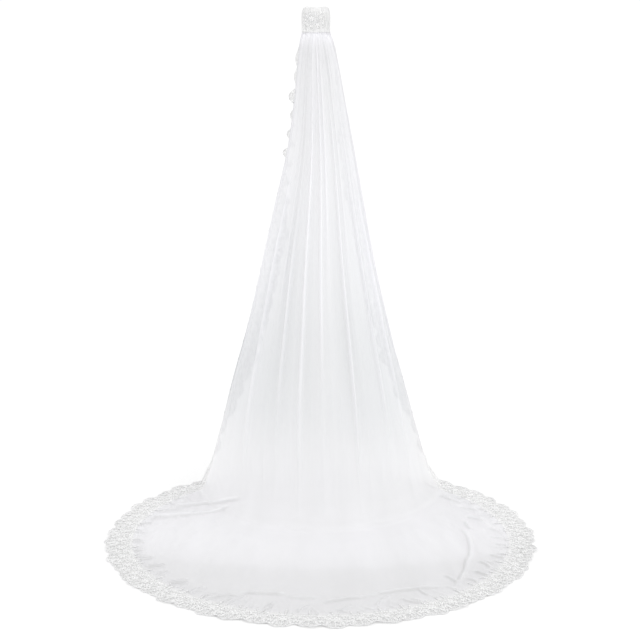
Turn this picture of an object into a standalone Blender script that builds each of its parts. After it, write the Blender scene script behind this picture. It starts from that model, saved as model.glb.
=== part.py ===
"""A long wedding veil: gathered tulle on a comb, with a scalloped lace edge.

Frame: metres, +Z up. The origin is where the comb sits in the wearer's hair. The wearer
faces +Y, so the train runs out along -Y, and the floor is COMB_HEIGHT below the origin.
"""

from collections import namedtuple
from math import radians

import bpy
import numpy as np

# ---------------------------------------------------------------- driving sizes, in metres
COMB_HEIGHT = 1.65  # comb above the floor
TULLE_WALL = 0.0012
LACE_WALL = 0.0016
SEAM = 0.0003  # gap between neighbouring pieces
LACE_SEAM = 0.0004  # gap along the curved edge between tulle and lace

TRAIN_RADIUS = 0.718  # to the tips of the scallops
TRAIN_CENTRE_X = 0.016
TRAIN_CENTRE_BACK = 0.524  # behind the comb
LACE_WIDTH = 0.088  # from the tulle's edge to the tips
TRAIN_END_BEARING = 100.0  # degrees from the train's tip where the long sides end

LACE_REPEAT = 0.070  # one large scallop along the tulle's edge
LARGE_NOTCH = 0.013  # depth between two large scallops
SMALL_NOTCH = 0.006  # depth between the two lobes of a large scallop
NOTCH_SHAPE = 0.6  # power of the sine between notches, lower for fuller lobes
EYELET_SHARE = 0.42  # of its cell of lace
EYELET_PLACES = (1, 2)  # cells of each scallop that have one
LACE_START = 0.055  # drop below the comb where the lace begins
LACE_FULL = 0.45  # drop where it reaches its whole width
LACE_NARROW = 0.012  # width where it begins
LEFT_FLARE = 24.0  # degrees that the left lace turns out at its upper end
FLARE_END = 0.50  # drop below the comb where it has turned back

HEADING_RIDGES = 13  # gathers seen across the heading
HEADING_RIDGE = 0.0012  # half the depth of a gather
HEADING_SIDE = 0.0030  # half the heading's depth at its two sides
HEADING_ROUND = 6  # power that rounds it off towards its sides
HEADING_BACK = 0.0102  # middle of the heading, behind the comb
MOTIF_WALL = 0.0012
MOTIF_MIDDLE = (-0.004, 0.036)  # in X and Z on the heading's back
MOTIF_SIZE = (0.038, 0.029)  # half its width and height
MOTIF_LOBES = 5  # along its upper and its lower edge
MOTIF_NOTCH = 0.12  # of its half height
MOTIF_END = 0.35  # height of its two blunt ends, of its half height

COMB_WIDTH = 0.078
COMB_TEETH = 13
COMB_PLATE = 0.0018
COMB_BAR = 0.009
TOOTH_LENGTH = 0.042
TOOTH_ROOT = 0.0030
TOOTH_TIP = 0.0014
COMB_REACH = 0.010  # how far the tips of the teeth bend forward

SHARP_ANGLE = 40.0  # degrees between faces that meet in a hard edge
POINTS_PER_FOLD = 4
CORNER_TURN = 2.5  # degrees, past which a corner of the tulle's edge is a corner of the lace's

# Sections of the fall, level cuts from the comb down to the floor. drop is measured from the
# comb. half_width, back and front are to the crests of the folds, as seen from behind and from
# the side. left_edge and right_edge are the bearings of the two cut edges, in degrees from
# straight behind. fold is half the depth of a full fold, and axis the middle's place in X.
Section = namedtuple("Section", "drop half_width back front left_edge right_edge fold axis")
SECTIONS = (
    Section(0.0003, 0.0550, 0.0190, 0.0060, 64, 66, 0.0007, 0.000),
    Section(0.030, 0.0615, 0.0320, 0.0120, 80, 84, 0.0014, 0.000),
    Section(0.100, 0.0765, 0.0560, 0.0200, 92, 98, 0.0026, 0.002),
    Section(0.240, 0.0990, 0.0880, 0.0350, 94, 103, 0.0046, 0.006),
    Section(0.400, 0.1260, 0.1180, 0.0500, 97, 105, 0.0068, 0.010),
    Section(0.590, 0.1610, 0.1560, 0.0660, 101, 106, 0.0086, 0.010),
    Section(0.810, 0.2080, 0.2040, 0.0860, 103, 105, 0.0100, 0.007),
    Section(1.030, 0.2600, 0.2580, 0.1000, 102, 103, 0.0100, 0.007),
    Section(1.250, 0.3190, 0.3180, 0.1000, 98, 99, 0.0078, 0.007),
    Section(1.430, 0.3640, 0.3720, 0.0900, 92, 93, 0.0044, 0.009),
    Section(1.550, 0.3960, 0.4180, 0.0700, 86, 87, 0.0018, 0.010),
    Section(1.598, 0.4120, 0.4430, 0.0600, 84, 85, 0.0009, 0.012),
    Section(1.628, 0.4260, 0.4670, 0.0500, 82.5, 83.5, 0.0004, 0.014),
    Section(1.643, 0.4380, 0.4860, 0.0450, 81.5, 82.5, 0.0002, 0.015),
)
FALL_SECTIONS = 11  # the first of them belong to the fall, and the rest turn into the train
FOOT = Section(COMB_HEIGHT, 0.4540, 0.5100, 0.0400, 81, 82, 0.0, 0.016)

# Folds of the fall, from the left edge to the right. bearing is where the crest lies at the
# widest spread, in degrees from straight behind. depth is a share of the section's fold, and
# run a share of the height in which the fold runs out over the train.
SPREAD = 108.0  # bearing of the cut edges at the widest spread
Fold = namedtuple("Fold", "bearing depth run")
FOLDS = (
    Fold(-101, 0.55, 0.3),
    Fold(-92, 0.85, 1.0),
    Fold(-83, 0.70, 0.8),
    Fold(-74, 1.00, 0.4),
    Fold(-64, 0.75, 0.9),
    Fold(-54, 1.00, 0.3),
    Fold(-45, 0.65, 0.5),
    Fold(-37, 0.80, 0.2),
    Fold(-29, 1.00, 0.4),
    Fold(-21, 0.60, 0.1),
    Fold(-13, 1.00, 0.3),
    Fold(-5, 0.70, 0.1),
    Fold(3, 1.00, 0.2),
    Fold(10, 0.55, 0.1),
    Fold(18, 0.95, 0.3),
    Fold(26, 0.65, 0.2),
    Fold(34, 1.00, 0.4),
    Fold(43, 0.75, 0.3),
    Fold(51, 1.00, 0.6),
    Fold(60, 0.70, 0.3),
    Fold(69, 1.00, 0.8),
    Fold(79, 0.75, 0.5),
    Fold(89, 0.95, 0.9),
    Fold(99, 0.60, 0.4),
)

# Level cuts of the gathered heading, from its foot to its crown.
Cut = namedtuple("Cut", "height half_width half_depth")
HEADING_SECTIONS = (
    Cut(0.0000, 0.0500, 0.0095),
    Cut(0.0200, 0.0505, 0.0107),
    Cut(0.0480, 0.0505, 0.0110),
    Cut(0.0660, 0.0495, 0.0102),
    Cut(0.0770, 0.0455, 0.0074),
    Cut(0.0830, 0.0350, 0.0040),
)

# Rows of the train on the floor. way is the share of the way from the foot of the fall to the
# edge, and swell the full height of the low swells that the folds run out in.
EDGE_HOLD = 6  # power that draws the cloth near the long sides onto the round outline
TrainRow = namedtuple("TrainRow", "way swell")
TRAIN_ROWS = (
    TrainRow(0.00, 0.0000),
    TrainRow(0.16, 0.0060),
    TrainRow(0.38, 0.0090),
    TrainRow(0.62, 0.0090),
    TrainRow(0.84, 0.0060),
    TrainRow(1.00, 0.0020),
)

COLOURS = {
    "tulle_heading": (0.86, 0.86, 0.88),
    "tulle_fall": (0.83, 0.83, 0.86),
    "tulle_train": (0.83, 0.83, 0.86),
    "lace_left": (0.90, 0.90, 0.90),
    "lace_train": (0.90, 0.90, 0.90),
    "lace_right": (0.90, 0.90, 0.90),
    "lace_motif": (0.92, 0.92, 0.91),
    "comb": (0.80, 0.80, 0.82),
}


# ---------------------------------------------------------------- meshes
def add_solid(name, points, faces, roughness=0.8, smooth=True):
    """One closed body with a material of its own."""
    mesh = bpy.data.meshes.new(name)
    mesh.from_pydata([tuple(p) for p in points], [], faces)
    mesh.validate()
    if smooth:
        mesh.shade_smooth()
        mesh.set_sharp_from_angle(angle=radians(SHARP_ANGLE))
    material = bpy.data.materials.new(name)
    material.use_nodes = True
    shader = material.node_tree.nodes["Principled BSDF"]
    shader.inputs["Base Color"].default_value = (*COLOURS[name], 1.0)
    shader.inputs["Roughness"].default_value = roughness
    mesh.materials.append(material)
    body = bpy.data.objects.new(name, mesh)
    bpy.context.collection.objects.link(body)
    return body


def wall_faces(rows, columns, keep, eyelets=()):
    """Faces of a wall from two grids of points, and the extra points that its eyelets need.

    The outer grid's points come first, then the inner grid's. keep says which cells are there.
    Each eyelet adds four outer and four inner points after both grids.
    """
    count = rows * columns
    faces = []

    def corner(row, column):
        return row * columns + column

    for row in range(rows - 1):
        for column in range(columns - 1):
            if not keep[row][column]:
                continue
            a, b = corner(row, column), corner(row, column + 1)
            c, d = corner(row + 1, column + 1), corner(row + 1, column)
            ring = (a, b, c, d)
            if (row, column) in eyelets:
                first = 2 * count + 8 * eyelets.index((row, column))
                hole = [first + i for i in range(4)]
                for i in range(4):
                    j = (i + 1) % 4
                    faces.append((ring[i], hole[i], hole[j], ring[j]))
                    inner = (ring[i] + count, ring[j] + count, hole[j] + 4, hole[i] + 4)
                    faces.append(inner)
                    faces.append((hole[i], hole[i] + 4, hole[j] + 4, hole[j]))
            else:
                faces.append((a, d, c, b))
                faces.append((a + count, b + count, c + count, d + count))
            beside = ((row - 1, column), (row, column + 1), (row + 1, column), (row, column - 1))
            for side, (r, c_) in enumerate(beside):
                inside = 0 <= r < rows - 1 and 0 <= c_ < columns - 1
                if inside and keep[r][c_]:
                    continue
                p, q = ring[side], ring[(side + 1) % 4]
                faces.append((p, q, q + count, p + count))
    return faces


def add_wall(name, outer, inner, keep=None, eyelets=(), **finish):
    """A wall between two grids of points, rows by columns by 3, with cells left out by keep."""
    rows, columns = outer.shape[:2]
    if keep is None:
        keep = np.ones((rows - 1, columns - 1), bool)
    points = [*outer.reshape(-1, 3), *inner.reshape(-1, 3)]
    for row, column in eyelets:
        for grid in (outer, inner):
            cell = np.array(
                (
                    grid[row, column],
                    grid[row, column + 1],
                    grid[row + 1, column + 1],
                    grid[row + 1, column],
                )
            )
            middle = cell.mean(axis=0)
            points.extend(middle + EYELET_SHARE * (cell - middle))
    return add_solid(name, points, wall_faces(rows, columns, keep, list(eyelets)), **finish)


def grid_normals(grid):
    """Unit normals of a grid of points, from its neighbours on both sides."""
    across = np.gradient(grid, axis=1)
    along = np.gradient(grid, axis=0)
    normal = np.cross(along, across)
    return normal / np.linalg.norm(normal, axis=2, keepdims=True)


# ---------------------------------------------------------------- the tulle's surface
def fold_stations():
    """Places across the cloth, -1 at the left edge to 1 at the right, with the folds there.

    Each place has its wave, 1 on a full crest and -1 in a full trough, and its swell, the share
    of the full height that the fold keeps on the train. Both fade out at the two edges.
    """
    corners = [(-1.0, 0.0, 0.0)]
    for fold, after in zip(FOLDS, (*FOLDS[1:], None)):
        corners.append((fold.bearing / SPREAD, fold.depth, fold.run))
        if after:
            trough = (fold.bearing + after.bearing) / 2 / SPREAD
            corners.append((trough, -(fold.depth + after.depth) / 2, 0.0))
    corners.append((1.0, 0.0, 0.0))
    steps = POINTS_PER_FOLD // 2
    stations = []
    for start, end in zip(corners, corners[1:]):
        for k in range(steps):
            share = k / steps
            turn = (1 - np.cos(np.pi * share)) / 2
            place = start[0] + share * (end[0] - start[0])
            stations.append((place, *(a + turn * (b - a) for a, b in zip(start[1:], end[1:]))))
    stations.append(corners[-1])
    return np.array(stations).T


def horseshoe(section, places, waves):
    """A level curve with its folds round the wearer's back, open in front."""
    edge = np.where(places < 0, section.left_edge, section.right_edge)
    bearing = np.radians(places * edge)
    half_width = section.half_width - section.fold
    depth = np.where(np.cos(bearing) >= 0, section.back - section.fold, section.front)
    x = section.axis + half_width * np.sin(bearing)
    curve = np.stack((x, -depth * np.cos(bearing)), axis=1)
    outward = np.stack((depth * np.sin(bearing), -half_width * np.cos(bearing)), axis=1)
    outward /= np.linalg.norm(outward, axis=1, keepdims=True)
    return curve + outward * (waves * section.fold)[:, None]


def section_points(section, places, waves):
    """One level ring of the fall."""
    curve = horseshoe(section, places, waves)
    return np.column_stack((curve, np.full(len(places), -section.drop)))


def train_edge(places):
    """The tulle's edge on the floor: the rounded end of the cut."""
    bearing = np.radians(places * TRAIN_END_BEARING)
    radius = TRAIN_RADIUS - LACE_WIDTH
    x = TRAIN_CENTRE_X + radius * np.sin(bearing)
    y = -TRAIN_CENTRE_BACK - radius * np.cos(bearing)
    return np.stack((x, y), axis=1)


def train_points(places, swells):
    """Rows of the train's upper face on the floor, from the foot of the fall to the edge."""
    foot = horseshoe(FOOT, places, 0.0 * places)
    edge = train_edge(places)
    centre = np.array((TRAIN_CENTRE_X, -TRAIN_CENTRE_BACK))
    radius = TRAIN_RADIUS - LACE_WIDTH
    rows = []
    for way, swell in TRAIN_ROWS:
        row = foot + way * (edge - foot)
        # the long sides of the cut follow the train's round outline
        spoke = row - centre
        reach = np.linalg.norm(spoke, axis=1, keepdims=True)
        to_edge = (np.abs(places) ** EDGE_HOLD)[:, None]
        row = centre + spoke * (1 + to_edge * (radius / reach - 1))
        top = -COMB_HEIGHT + TULLE_WALL + swell * swells
        rows.append(np.column_stack((row, top)))
    return rows


def tulle_surface():
    """The tulle's outer face as one grid: the fall's rings, then the train's rows."""
    places, waves, swells = fold_stations()
    rings = [section_points(section, places, waves) for section in SECTIONS]
    return np.array(rings + train_points(places, swells))


def tulle_walls(surface):
    """The inner face under the outer one, flat on the floor where the cloth lies."""
    inner = surface - TULLE_WALL * grid_normals(surface)
    inner[..., 2] = np.maximum(inner[..., 2], -COMB_HEIGHT)
    inner[len(SECTIONS) :, :, 2] = -COMB_HEIGHT
    inner[0, :, 2] = surface[0, :, 2]
    return inner


def parted(grid, row, gap):
    """A row of points a gap further along the cloth than the row itself."""
    step = grid[row + 1] - grid[row]
    return grid[row] + gap * step / np.linalg.norm(step, axis=1, keepdims=True)


def add_tulle():
    surface = tulle_surface()
    inner = tulle_walls(surface)
    seam = FALL_SECTIONS - 1
    add_wall("tulle_fall", surface[: seam + 1], inner[: seam + 1])
    outer_train = surface[seam:].copy()
    inner_train = inner[seam:].copy()
    outer_train[0] = parted(surface, seam, SEAM)
    inner_train[0] = parted(inner, seam, SEAM)
    add_wall("tulle_train", outer_train, inner_train)
    return surface


# ---------------------------------------------------------------- the lace edging
def along_path(path):
    """Distance along a path at each of its points."""
    steps = np.linalg.norm(np.diff(path, axis=0), axis=1)
    return np.concatenate(((0.0,), np.cumsum(steps)))


def resample(values, distance, stations):
    return np.stack([np.interp(stations, distance, values[:, i]) for i in range(3)], axis=1)


def edge_frame(surface):
    """The tulle's cut edge from comb to comb, with its outward and upward directions."""
    normal = grid_normals(surface)
    path = np.concatenate((surface[:, 0], surface[-1, 1:-1], surface[::-1, -1]))
    up = np.concatenate((normal[:, 0], normal[-1, 1:-1], normal[::-1, -1]))
    distance = along_path(path)
    return path, up, distance


def scallop(phase):
    """How far the outer edge falls short of the tips, over one large scallop."""
    large = 1 - np.abs(np.sin(np.pi * phase)) ** NOTCH_SHAPE
    small = 1 - np.abs(np.sin(2 * np.pi * phase)) ** NOTCH_SHAPE
    return LARGE_NOTCH * large + SMALL_NOTCH * small * (1 - large)


def edge_corners(path, distance):
    """Distances along the edge of the points where it turns by more than CORNER_TURN."""
    ahead = np.diff(path, axis=0)
    ahead /= np.linalg.norm(ahead, axis=1, keepdims=True)
    turns = np.degrees(np.arccos(np.clip(np.sum(ahead[1:] * ahead[:-1], axis=1), -1, 1)))
    return distance[1:-1][turns > CORNER_TURN]


def snapped(stations, corners):
    """Stations with the nearest one moved onto each of the edge's corners between them."""
    stations = stations.copy()
    for corner in corners[(corners > stations[1]) & (corners < stations[-2])]:
        stations[np.argmin(np.abs(stations - corner))] = corner
    return stations


def lace_grid(surface, first, last, repeats, flare):
    """A strip of lace beside the cut edge between two distances along it."""
    path, up, distance = edge_frame(surface)
    stations = np.linspace(first, last, 4 * repeats + 1)
    stations = snapped(stations, edge_corners(path, distance))
    base = resample(path, distance, stations)
    normal = resample(up, distance, stations)
    normal /= np.linalg.norm(normal, axis=1, keepdims=True)
    ahead = np.gradient(base, axis=0)
    outward = np.cross(ahead, normal)
    outward /= np.linalg.norm(outward, axis=1, keepdims=True)
    drop = -base[:, 2]
    turn = np.radians(np.interp(drop, (LACE_START, FLARE_END), (flare, 0.0)))[:, None]
    outward, normal = (
        outward * np.cos(turn) + normal * np.sin(turn),
        normal * np.cos(turn) - outward * np.sin(turn),
    )
    width = np.interp(drop, (LACE_START, LACE_FULL), (LACE_NARROW, LACE_WIDTH))
    phase = np.arange(len(stations)) / 4
    tip = width - scallop(phase) * width / LACE_WIDTH
    rows = []
    for share in (0.0, 0.5, 1.0):
        reach = LACE_SEAM + share * (tip - LACE_SEAM)
        rows.append(base + outward * reach[:, None])
    outer = np.array(rows)
    floor = -COMB_HEIGHT + LACE_WALL
    outer[..., 2] = np.maximum(outer[..., 2], floor)
    inner = outer - LACE_WALL * normal[None]
    inner[..., 2] = np.maximum(inner[..., 2], -COMB_HEIGHT)
    return outer, inner


def add_lace(surface):
    path, _, distance = edge_frame(surface)
    turn = len(SECTIONS)
    foot_left = distance[turn]
    foot_right = distance[len(path) - 1 - turn]
    start = float(np.interp(LACE_START, -path[:turn, 2], distance[:turn]))
    end = distance[-1] - start
    stretches = (
        ("lace_left", start, foot_left - SEAM / 2, LEFT_FLARE),
        ("lace_train", foot_left + SEAM / 2, foot_right - SEAM / 2, 0.0),
        ("lace_right", foot_right + SEAM / 2, end, 0.0),
    )
    for name, first, last, flare in stretches:
        repeats = round((last - first) / LACE_REPEAT)
        outer, inner = lace_grid(surface, first, last, repeats, flare)
        eyelets = [(1, 4 * i + place) for i in range(repeats) for place in EYELET_PLACES]
        add_wall(name, outer, inner, eyelets=eyelets)


# ---------------------------------------------------------------- the heading and the comb
def heading_stations():
    """Places across the heading, -1 to 1, and the wave of its gathers there."""
    steps = 2 * HEADING_RIDGES
    places = np.linspace(-1, 1, steps + 1)
    waves = np.where(np.arange(steps + 1) % 2 == 1, 1.0, -1.0)
    return places, waves


def heading_depth(height, places, waves):
    """Half the heading's depth at a height, at each place across it."""
    heights, _, depths = np.array(HEADING_SECTIONS).T
    middle = np.interp(height, heights, depths) - HEADING_RIDGE
    side = HEADING_SIDE * middle / (depths.max() - HEADING_RIDGE)
    fullness = 1 - np.abs(places) ** HEADING_ROUND
    return side + (middle - side + HEADING_RIDGE * waves) * fullness


def add_heading():
    places, waves = heading_stations()
    back = []
    front = []
    for cut in reversed(HEADING_SECTIONS):
        x = cut.half_width * places
        z = np.full(len(places), cut.height)
        depth = heading_depth(cut.height, places, waves)
        back.append(np.column_stack((x, -HEADING_BACK - depth, z)))
        front.append(np.column_stack((x, -HEADING_BACK + depth, z)))
    add_wall("tulle_heading", np.array(back), np.array(front))


def add_motif():
    """A small oval of lace on the heading's back, with lobed upper and lower edges."""
    places, waves = heading_stations()
    heights, widths, _ = np.array(HEADING_SECTIONS).T
    middle_x, middle_z = MOTIF_MIDDLE
    half_width, half_height = MOTIF_SIZE
    full_width = widths.max()
    chosen = np.abs(places * full_width - middle_x) <= half_width
    places = places[chosen]
    waves = waves[chosen]
    across = (places * full_width - middle_x) / half_width
    oval = np.sqrt(np.maximum(MOTIF_END**2, 1 - across**2))
    lobes = np.abs(np.sin(np.pi * MOTIF_LOBES * (across + 1) / 2)) ** NOTCH_SHAPE
    reach = half_height * oval * (1 - MOTIF_NOTCH * (1 - lobes))
    outer = []
    for share in (1.0, 0.5, 0.0, -0.5, -1.0):
        z = middle_z + share * reach
        x = np.interp(z, heights, widths) * places
        depth = np.diag([heading_depth(height, places, waves) for height in z])
        outer.append(np.column_stack((x, -HEADING_BACK - depth - SEAM - MOTIF_WALL, z)))
    outer = np.array(outer)
    inner = outer + np.array((0.0, MOTIF_WALL, 0.0))
    add_wall("lace_motif", outer, inner)


def add_comb():
    """A bar with a row of teeth that bend forward into the hair."""
    pitch = COMB_WIDTH / COMB_TEETH
    drops = (-COMB_BAR / 2, COMB_BAR / 2, COMB_BAR / 2 + TOOTH_LENGTH / 2)
    drops = (*drops, COMB_BAR / 2 + TOOTH_LENGTH)
    tooth_widths = (TOOTH_ROOT, TOOTH_ROOT, (TOOTH_ROOT + TOOTH_TIP) / 2, TOOTH_TIP)
    back = []
    for drop, width in zip(drops, tooth_widths):
        middles = (np.arange(COMB_TEETH) + 0.5) * pitch - COMB_WIDTH / 2
        x = np.stack((middles - width / 2, middles + width / 2), axis=1).ravel()
        below = max(0.0, drop - COMB_BAR / 2) / TOOTH_LENGTH
        y = np.full(len(x), COMB_REACH * below**2)
        back.append(np.column_stack((x, y, np.full(len(x), COMB_BAR / 2 - drop))))
    back = np.array(back)
    front = back + np.array((0.0, COMB_PLATE, 0.0))
    keep = np.ones((len(drops) - 1, 2 * COMB_TEETH - 1), bool)
    keep[1:, 1::2] = False
    add_wall("comb", back, front, keep=keep, roughness=0.35, smooth=False)


def clear_scene():
    for old in list(bpy.data.objects):
        bpy.data.objects.remove(old)


def main():
    clear_scene()
    surface = add_tulle()
    add_lace(surface)
    add_heading()
    add_motif()
    add_comb()


main()
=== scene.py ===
"""A long wedding veil: gathered tulle on a comb, with a scalloped, embroidered lace edge.

Frame: metres, +Z up. The origin is where the comb sits in the wearer's hair. The wearer
faces +Y, the train runs out along -Y, and the floor is the comb's height below the origin.
"""

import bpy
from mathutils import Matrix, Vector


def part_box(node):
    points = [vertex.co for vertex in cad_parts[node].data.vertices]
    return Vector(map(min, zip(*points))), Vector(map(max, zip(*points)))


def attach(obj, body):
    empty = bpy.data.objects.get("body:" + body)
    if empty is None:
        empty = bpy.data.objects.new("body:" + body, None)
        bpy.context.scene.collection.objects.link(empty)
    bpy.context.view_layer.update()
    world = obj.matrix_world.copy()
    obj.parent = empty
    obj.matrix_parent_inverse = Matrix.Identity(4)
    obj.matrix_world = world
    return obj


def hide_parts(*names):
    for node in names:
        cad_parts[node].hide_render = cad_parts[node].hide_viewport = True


bl_info = {
    "name": "Bridal Veil",
    "version": (1, 0, 0),
    "blender": (4, 5, 0),
    "location": "View3D > Sidebar > Veil",
    "description": "Builds a long wedding veil of gathered tulle with an embroidered lace edge",
    "category": "Add Mesh",
}

import math
from collections import namedtuple

import bpy
import numpy as np
from bpy.props import FloatProperty, FloatVectorProperty, IntProperty, PointerProperty
from mathutils import Vector
from mathutils.bvhtree import BVHTree

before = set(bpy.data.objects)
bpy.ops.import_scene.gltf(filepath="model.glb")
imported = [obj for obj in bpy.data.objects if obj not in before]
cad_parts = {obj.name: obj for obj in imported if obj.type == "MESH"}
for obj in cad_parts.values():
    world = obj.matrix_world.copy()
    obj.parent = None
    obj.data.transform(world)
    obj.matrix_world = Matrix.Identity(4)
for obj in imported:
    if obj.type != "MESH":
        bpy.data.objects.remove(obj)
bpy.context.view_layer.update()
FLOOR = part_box("tulle_train")[0].z

# ---------------------------------------------------------------- the drape, in metres
# Level cuts of the fall. drop is measured from the comb, half_width, back and front are to
# the crests of the folds, the edges are bearings in degrees from straight behind, fold is
# half the depth of a full fold, and axis the middle's place in X.
Section = namedtuple("Section", "drop half_width back front left_edge right_edge fold axis")
SECTIONS = (
    Section(0.0003, 0.0550, 0.0190, 0.0060, 64, 66, 0.0007, 0.000),
    Section(0.030, 0.0615, 0.0320, 0.0120, 80, 84, 0.0014, 0.000),
    Section(0.100, 0.0765, 0.0560, 0.0200, 92, 98, 0.0026, 0.002),
    Section(0.240, 0.0990, 0.0880, 0.0350, 94, 103, 0.0046, 0.006),
    Section(0.400, 0.1260, 0.1180, 0.0500, 97, 105, 0.0068, 0.010),
    Section(0.590, 0.1610, 0.1560, 0.0660, 101, 106, 0.0086, 0.010),
    Section(0.810, 0.2080, 0.2040, 0.0860, 103, 105, 0.0100, 0.007),
    Section(1.030, 0.2600, 0.2580, 0.1000, 102, 103, 0.0100, 0.007),
    Section(1.250, 0.3190, 0.3180, 0.1000, 98, 99, 0.0078, 0.007),
    Section(1.430, 0.3640, 0.3720, 0.0900, 92, 93, 0.0044, 0.009),
    Section(1.550, 0.3960, 0.4180, 0.0700, 86, 87, 0.0018, 0.010),
    Section(1.598, 0.4120, 0.4430, 0.0600, 84, 85, 0.0009, 0.012),
    Section(1.628, 0.4260, 0.4670, 0.0500, 82.5, 83.5, 0.0004, 0.014),
    Section(1.643, 0.4380, 0.4860, 0.0450, 81.5, 82.5, 0.0002, 0.015),
)
FOOT = Section(-FLOOR, 0.4540, 0.5100, 0.0400, 81, 82, 0.0, 0.016)
ROWS_BETWEEN = (2, 3, 4, 4, 5, 5, 5, 5, 5, 12, 10, 8, 5, 4, 12, 20, 22, 22, 18)

# The upper left side hangs a little slimmer, so that its lace stands out beyond it.
SLIM_DROPS = (0.0, 0.06, 0.24, 0.40, 0.62)
SLIM_SHARES = (0.0, 0.12, 0.14, 0.11, 0.0)

# Folds of the fall, left to right: where the crest lies at the widest spread, how sharply it
# stands out as a share of the section's fold, its share of the height in which it runs out
# over the train, and the drops between which it stands full. A few stand out as narrow
# ridges between broad soft panels, and none of them runs the whole way down.
SPREAD = 108.0
Fold = namedtuple("Fold", "bearing depth run top foot")
FOLDS = (
    Fold(-101, 0.50, 0.3, 0.00, 1.60),
    Fold(-92, -0.15, 1.0, 0.10, 1.40),
    Fold(-83, 0.75, 0.8, 0.35, 1.12),
    Fold(-74, -0.20, 0.4, 0.30, 1.20),
    Fold(-64, -0.25, 0.9, 0.30, 1.20),
    Fold(-54, 1.05, 0.3, 0.66, 1.30),
    Fold(-45, -0.20, 0.5, 0.40, 1.10),
    Fold(-37, 0.45, 0.2, 0.14, 0.72),
    Fold(-29, 0.85, 0.4, 0.86, 1.18),
    Fold(-21, -0.25, 0.1, 0.30, 1.20),
    Fold(-13, 1.05, 0.3, 0.20, 1.40),
    Fold(-5, -0.20, 0.1, 0.10, 1.20),
    Fold(3, 0.95, 0.2, 0.04, 0.98),
    Fold(10, 0.35, 0.1, 0.04, 0.58),
    Fold(18, -0.25, 0.3, 0.20, 1.20),
    Fold(26, 1.10, 0.2, 0.44, 1.36),
    Fold(34, 0.45, 0.4, 0.08, 0.50),
    Fold(43, -0.25, 0.3, 0.30, 1.20),
    Fold(51, 0.90, 0.6, 0.52, 1.20),
    Fold(60, -0.20, 0.3, 0.30, 1.20),
    Fold(69, 0.90, 0.8, 0.78, 1.38),
    Fold(79, -0.20, 0.5, 0.20, 1.20),
    Fold(89, 0.75, 0.9, 0.22, 1.05),
    Fold(99, 0.20, 0.4, 0.00, 1.60),
)
FOLD_FADE = 0.22  # the drop over which a fold dies away past its ends
FOLD_REST = 0.25  # what stays of it there
FOLD_UNEVEN = (0.64, 1.12)  # shares of its depth between which each fold wanders
LEAST_TROUGH = 0.15  # a trough lies as low as this or its lower neighbour, as a share of the
TROUGH_DEPTH = 0.14  # section's fold, and this much lower again
STEPS_PER_HALF_FOLD = 12
CREST_SHARPNESS = 2.4

# Fine gathers between the folds: how many run across the cloth, their share of the depth,
# and how far they drift sideways, in gathers, on the way down.
Gather = namedtuple("Gather", "count share drift")
GATHERS = (Gather(37, 0.50, 0.6), Gather(53, 0.30, -0.9), Gather(71, 0.20, 0.4))
GATHER_DROPS = (0.0, 0.06, 0.16, 0.35, 0.80, 1.20, 1.45, 1.56)
GATHER_DEPTHS = (0.0020, 0.0018, 0.0014, 0.0009, 0.0005, 0.0004, 0.0003, 0.0)
# Painted highlight on the crests of the fine gathers, by drop.
GATHER_TONES = (0.25, 0.25, 0.25, 0.20, 0.10, 0.08, 0.04, 0.0)
GATHER_GAIN = 2.6  # height of a full gather, in its depth
GATHER_MEAN = 0.7  # height that counts as level, in the same measure
GATHER_WANDER = 0.35  # in gathers
GATHER_HOLD = 14  # the power by which gathers stop short of the cut edges

# The round train.
TRAIN_CENTRE = np.array((0.016, -0.524))
TRAIN_END_BEARING = 100.0
TRAIN_LIFT = 0.0012  # of the tulle over the floor
LEAST_LIFT = 0.0008  # and the least of that once it is creased
EDGE_HOLD = 6  # the power by which the rows run into the round edge at their ends
TrainRow = namedtuple("TrainRow", "way swell")
SWELL_SHARE = 0.45  # of the swell below that a fold with a full run gives a row
TRAIN_ROWS = (
    TrainRow(0.00, 0.0000),
    TrainRow(0.16, 0.0060),
    TrainRow(0.38, 0.0090),
    TrainRow(0.62, 0.0090),
    TrainRow(0.84, 0.0060),
    TrainRow(1.00, 0.0020),
)

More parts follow.
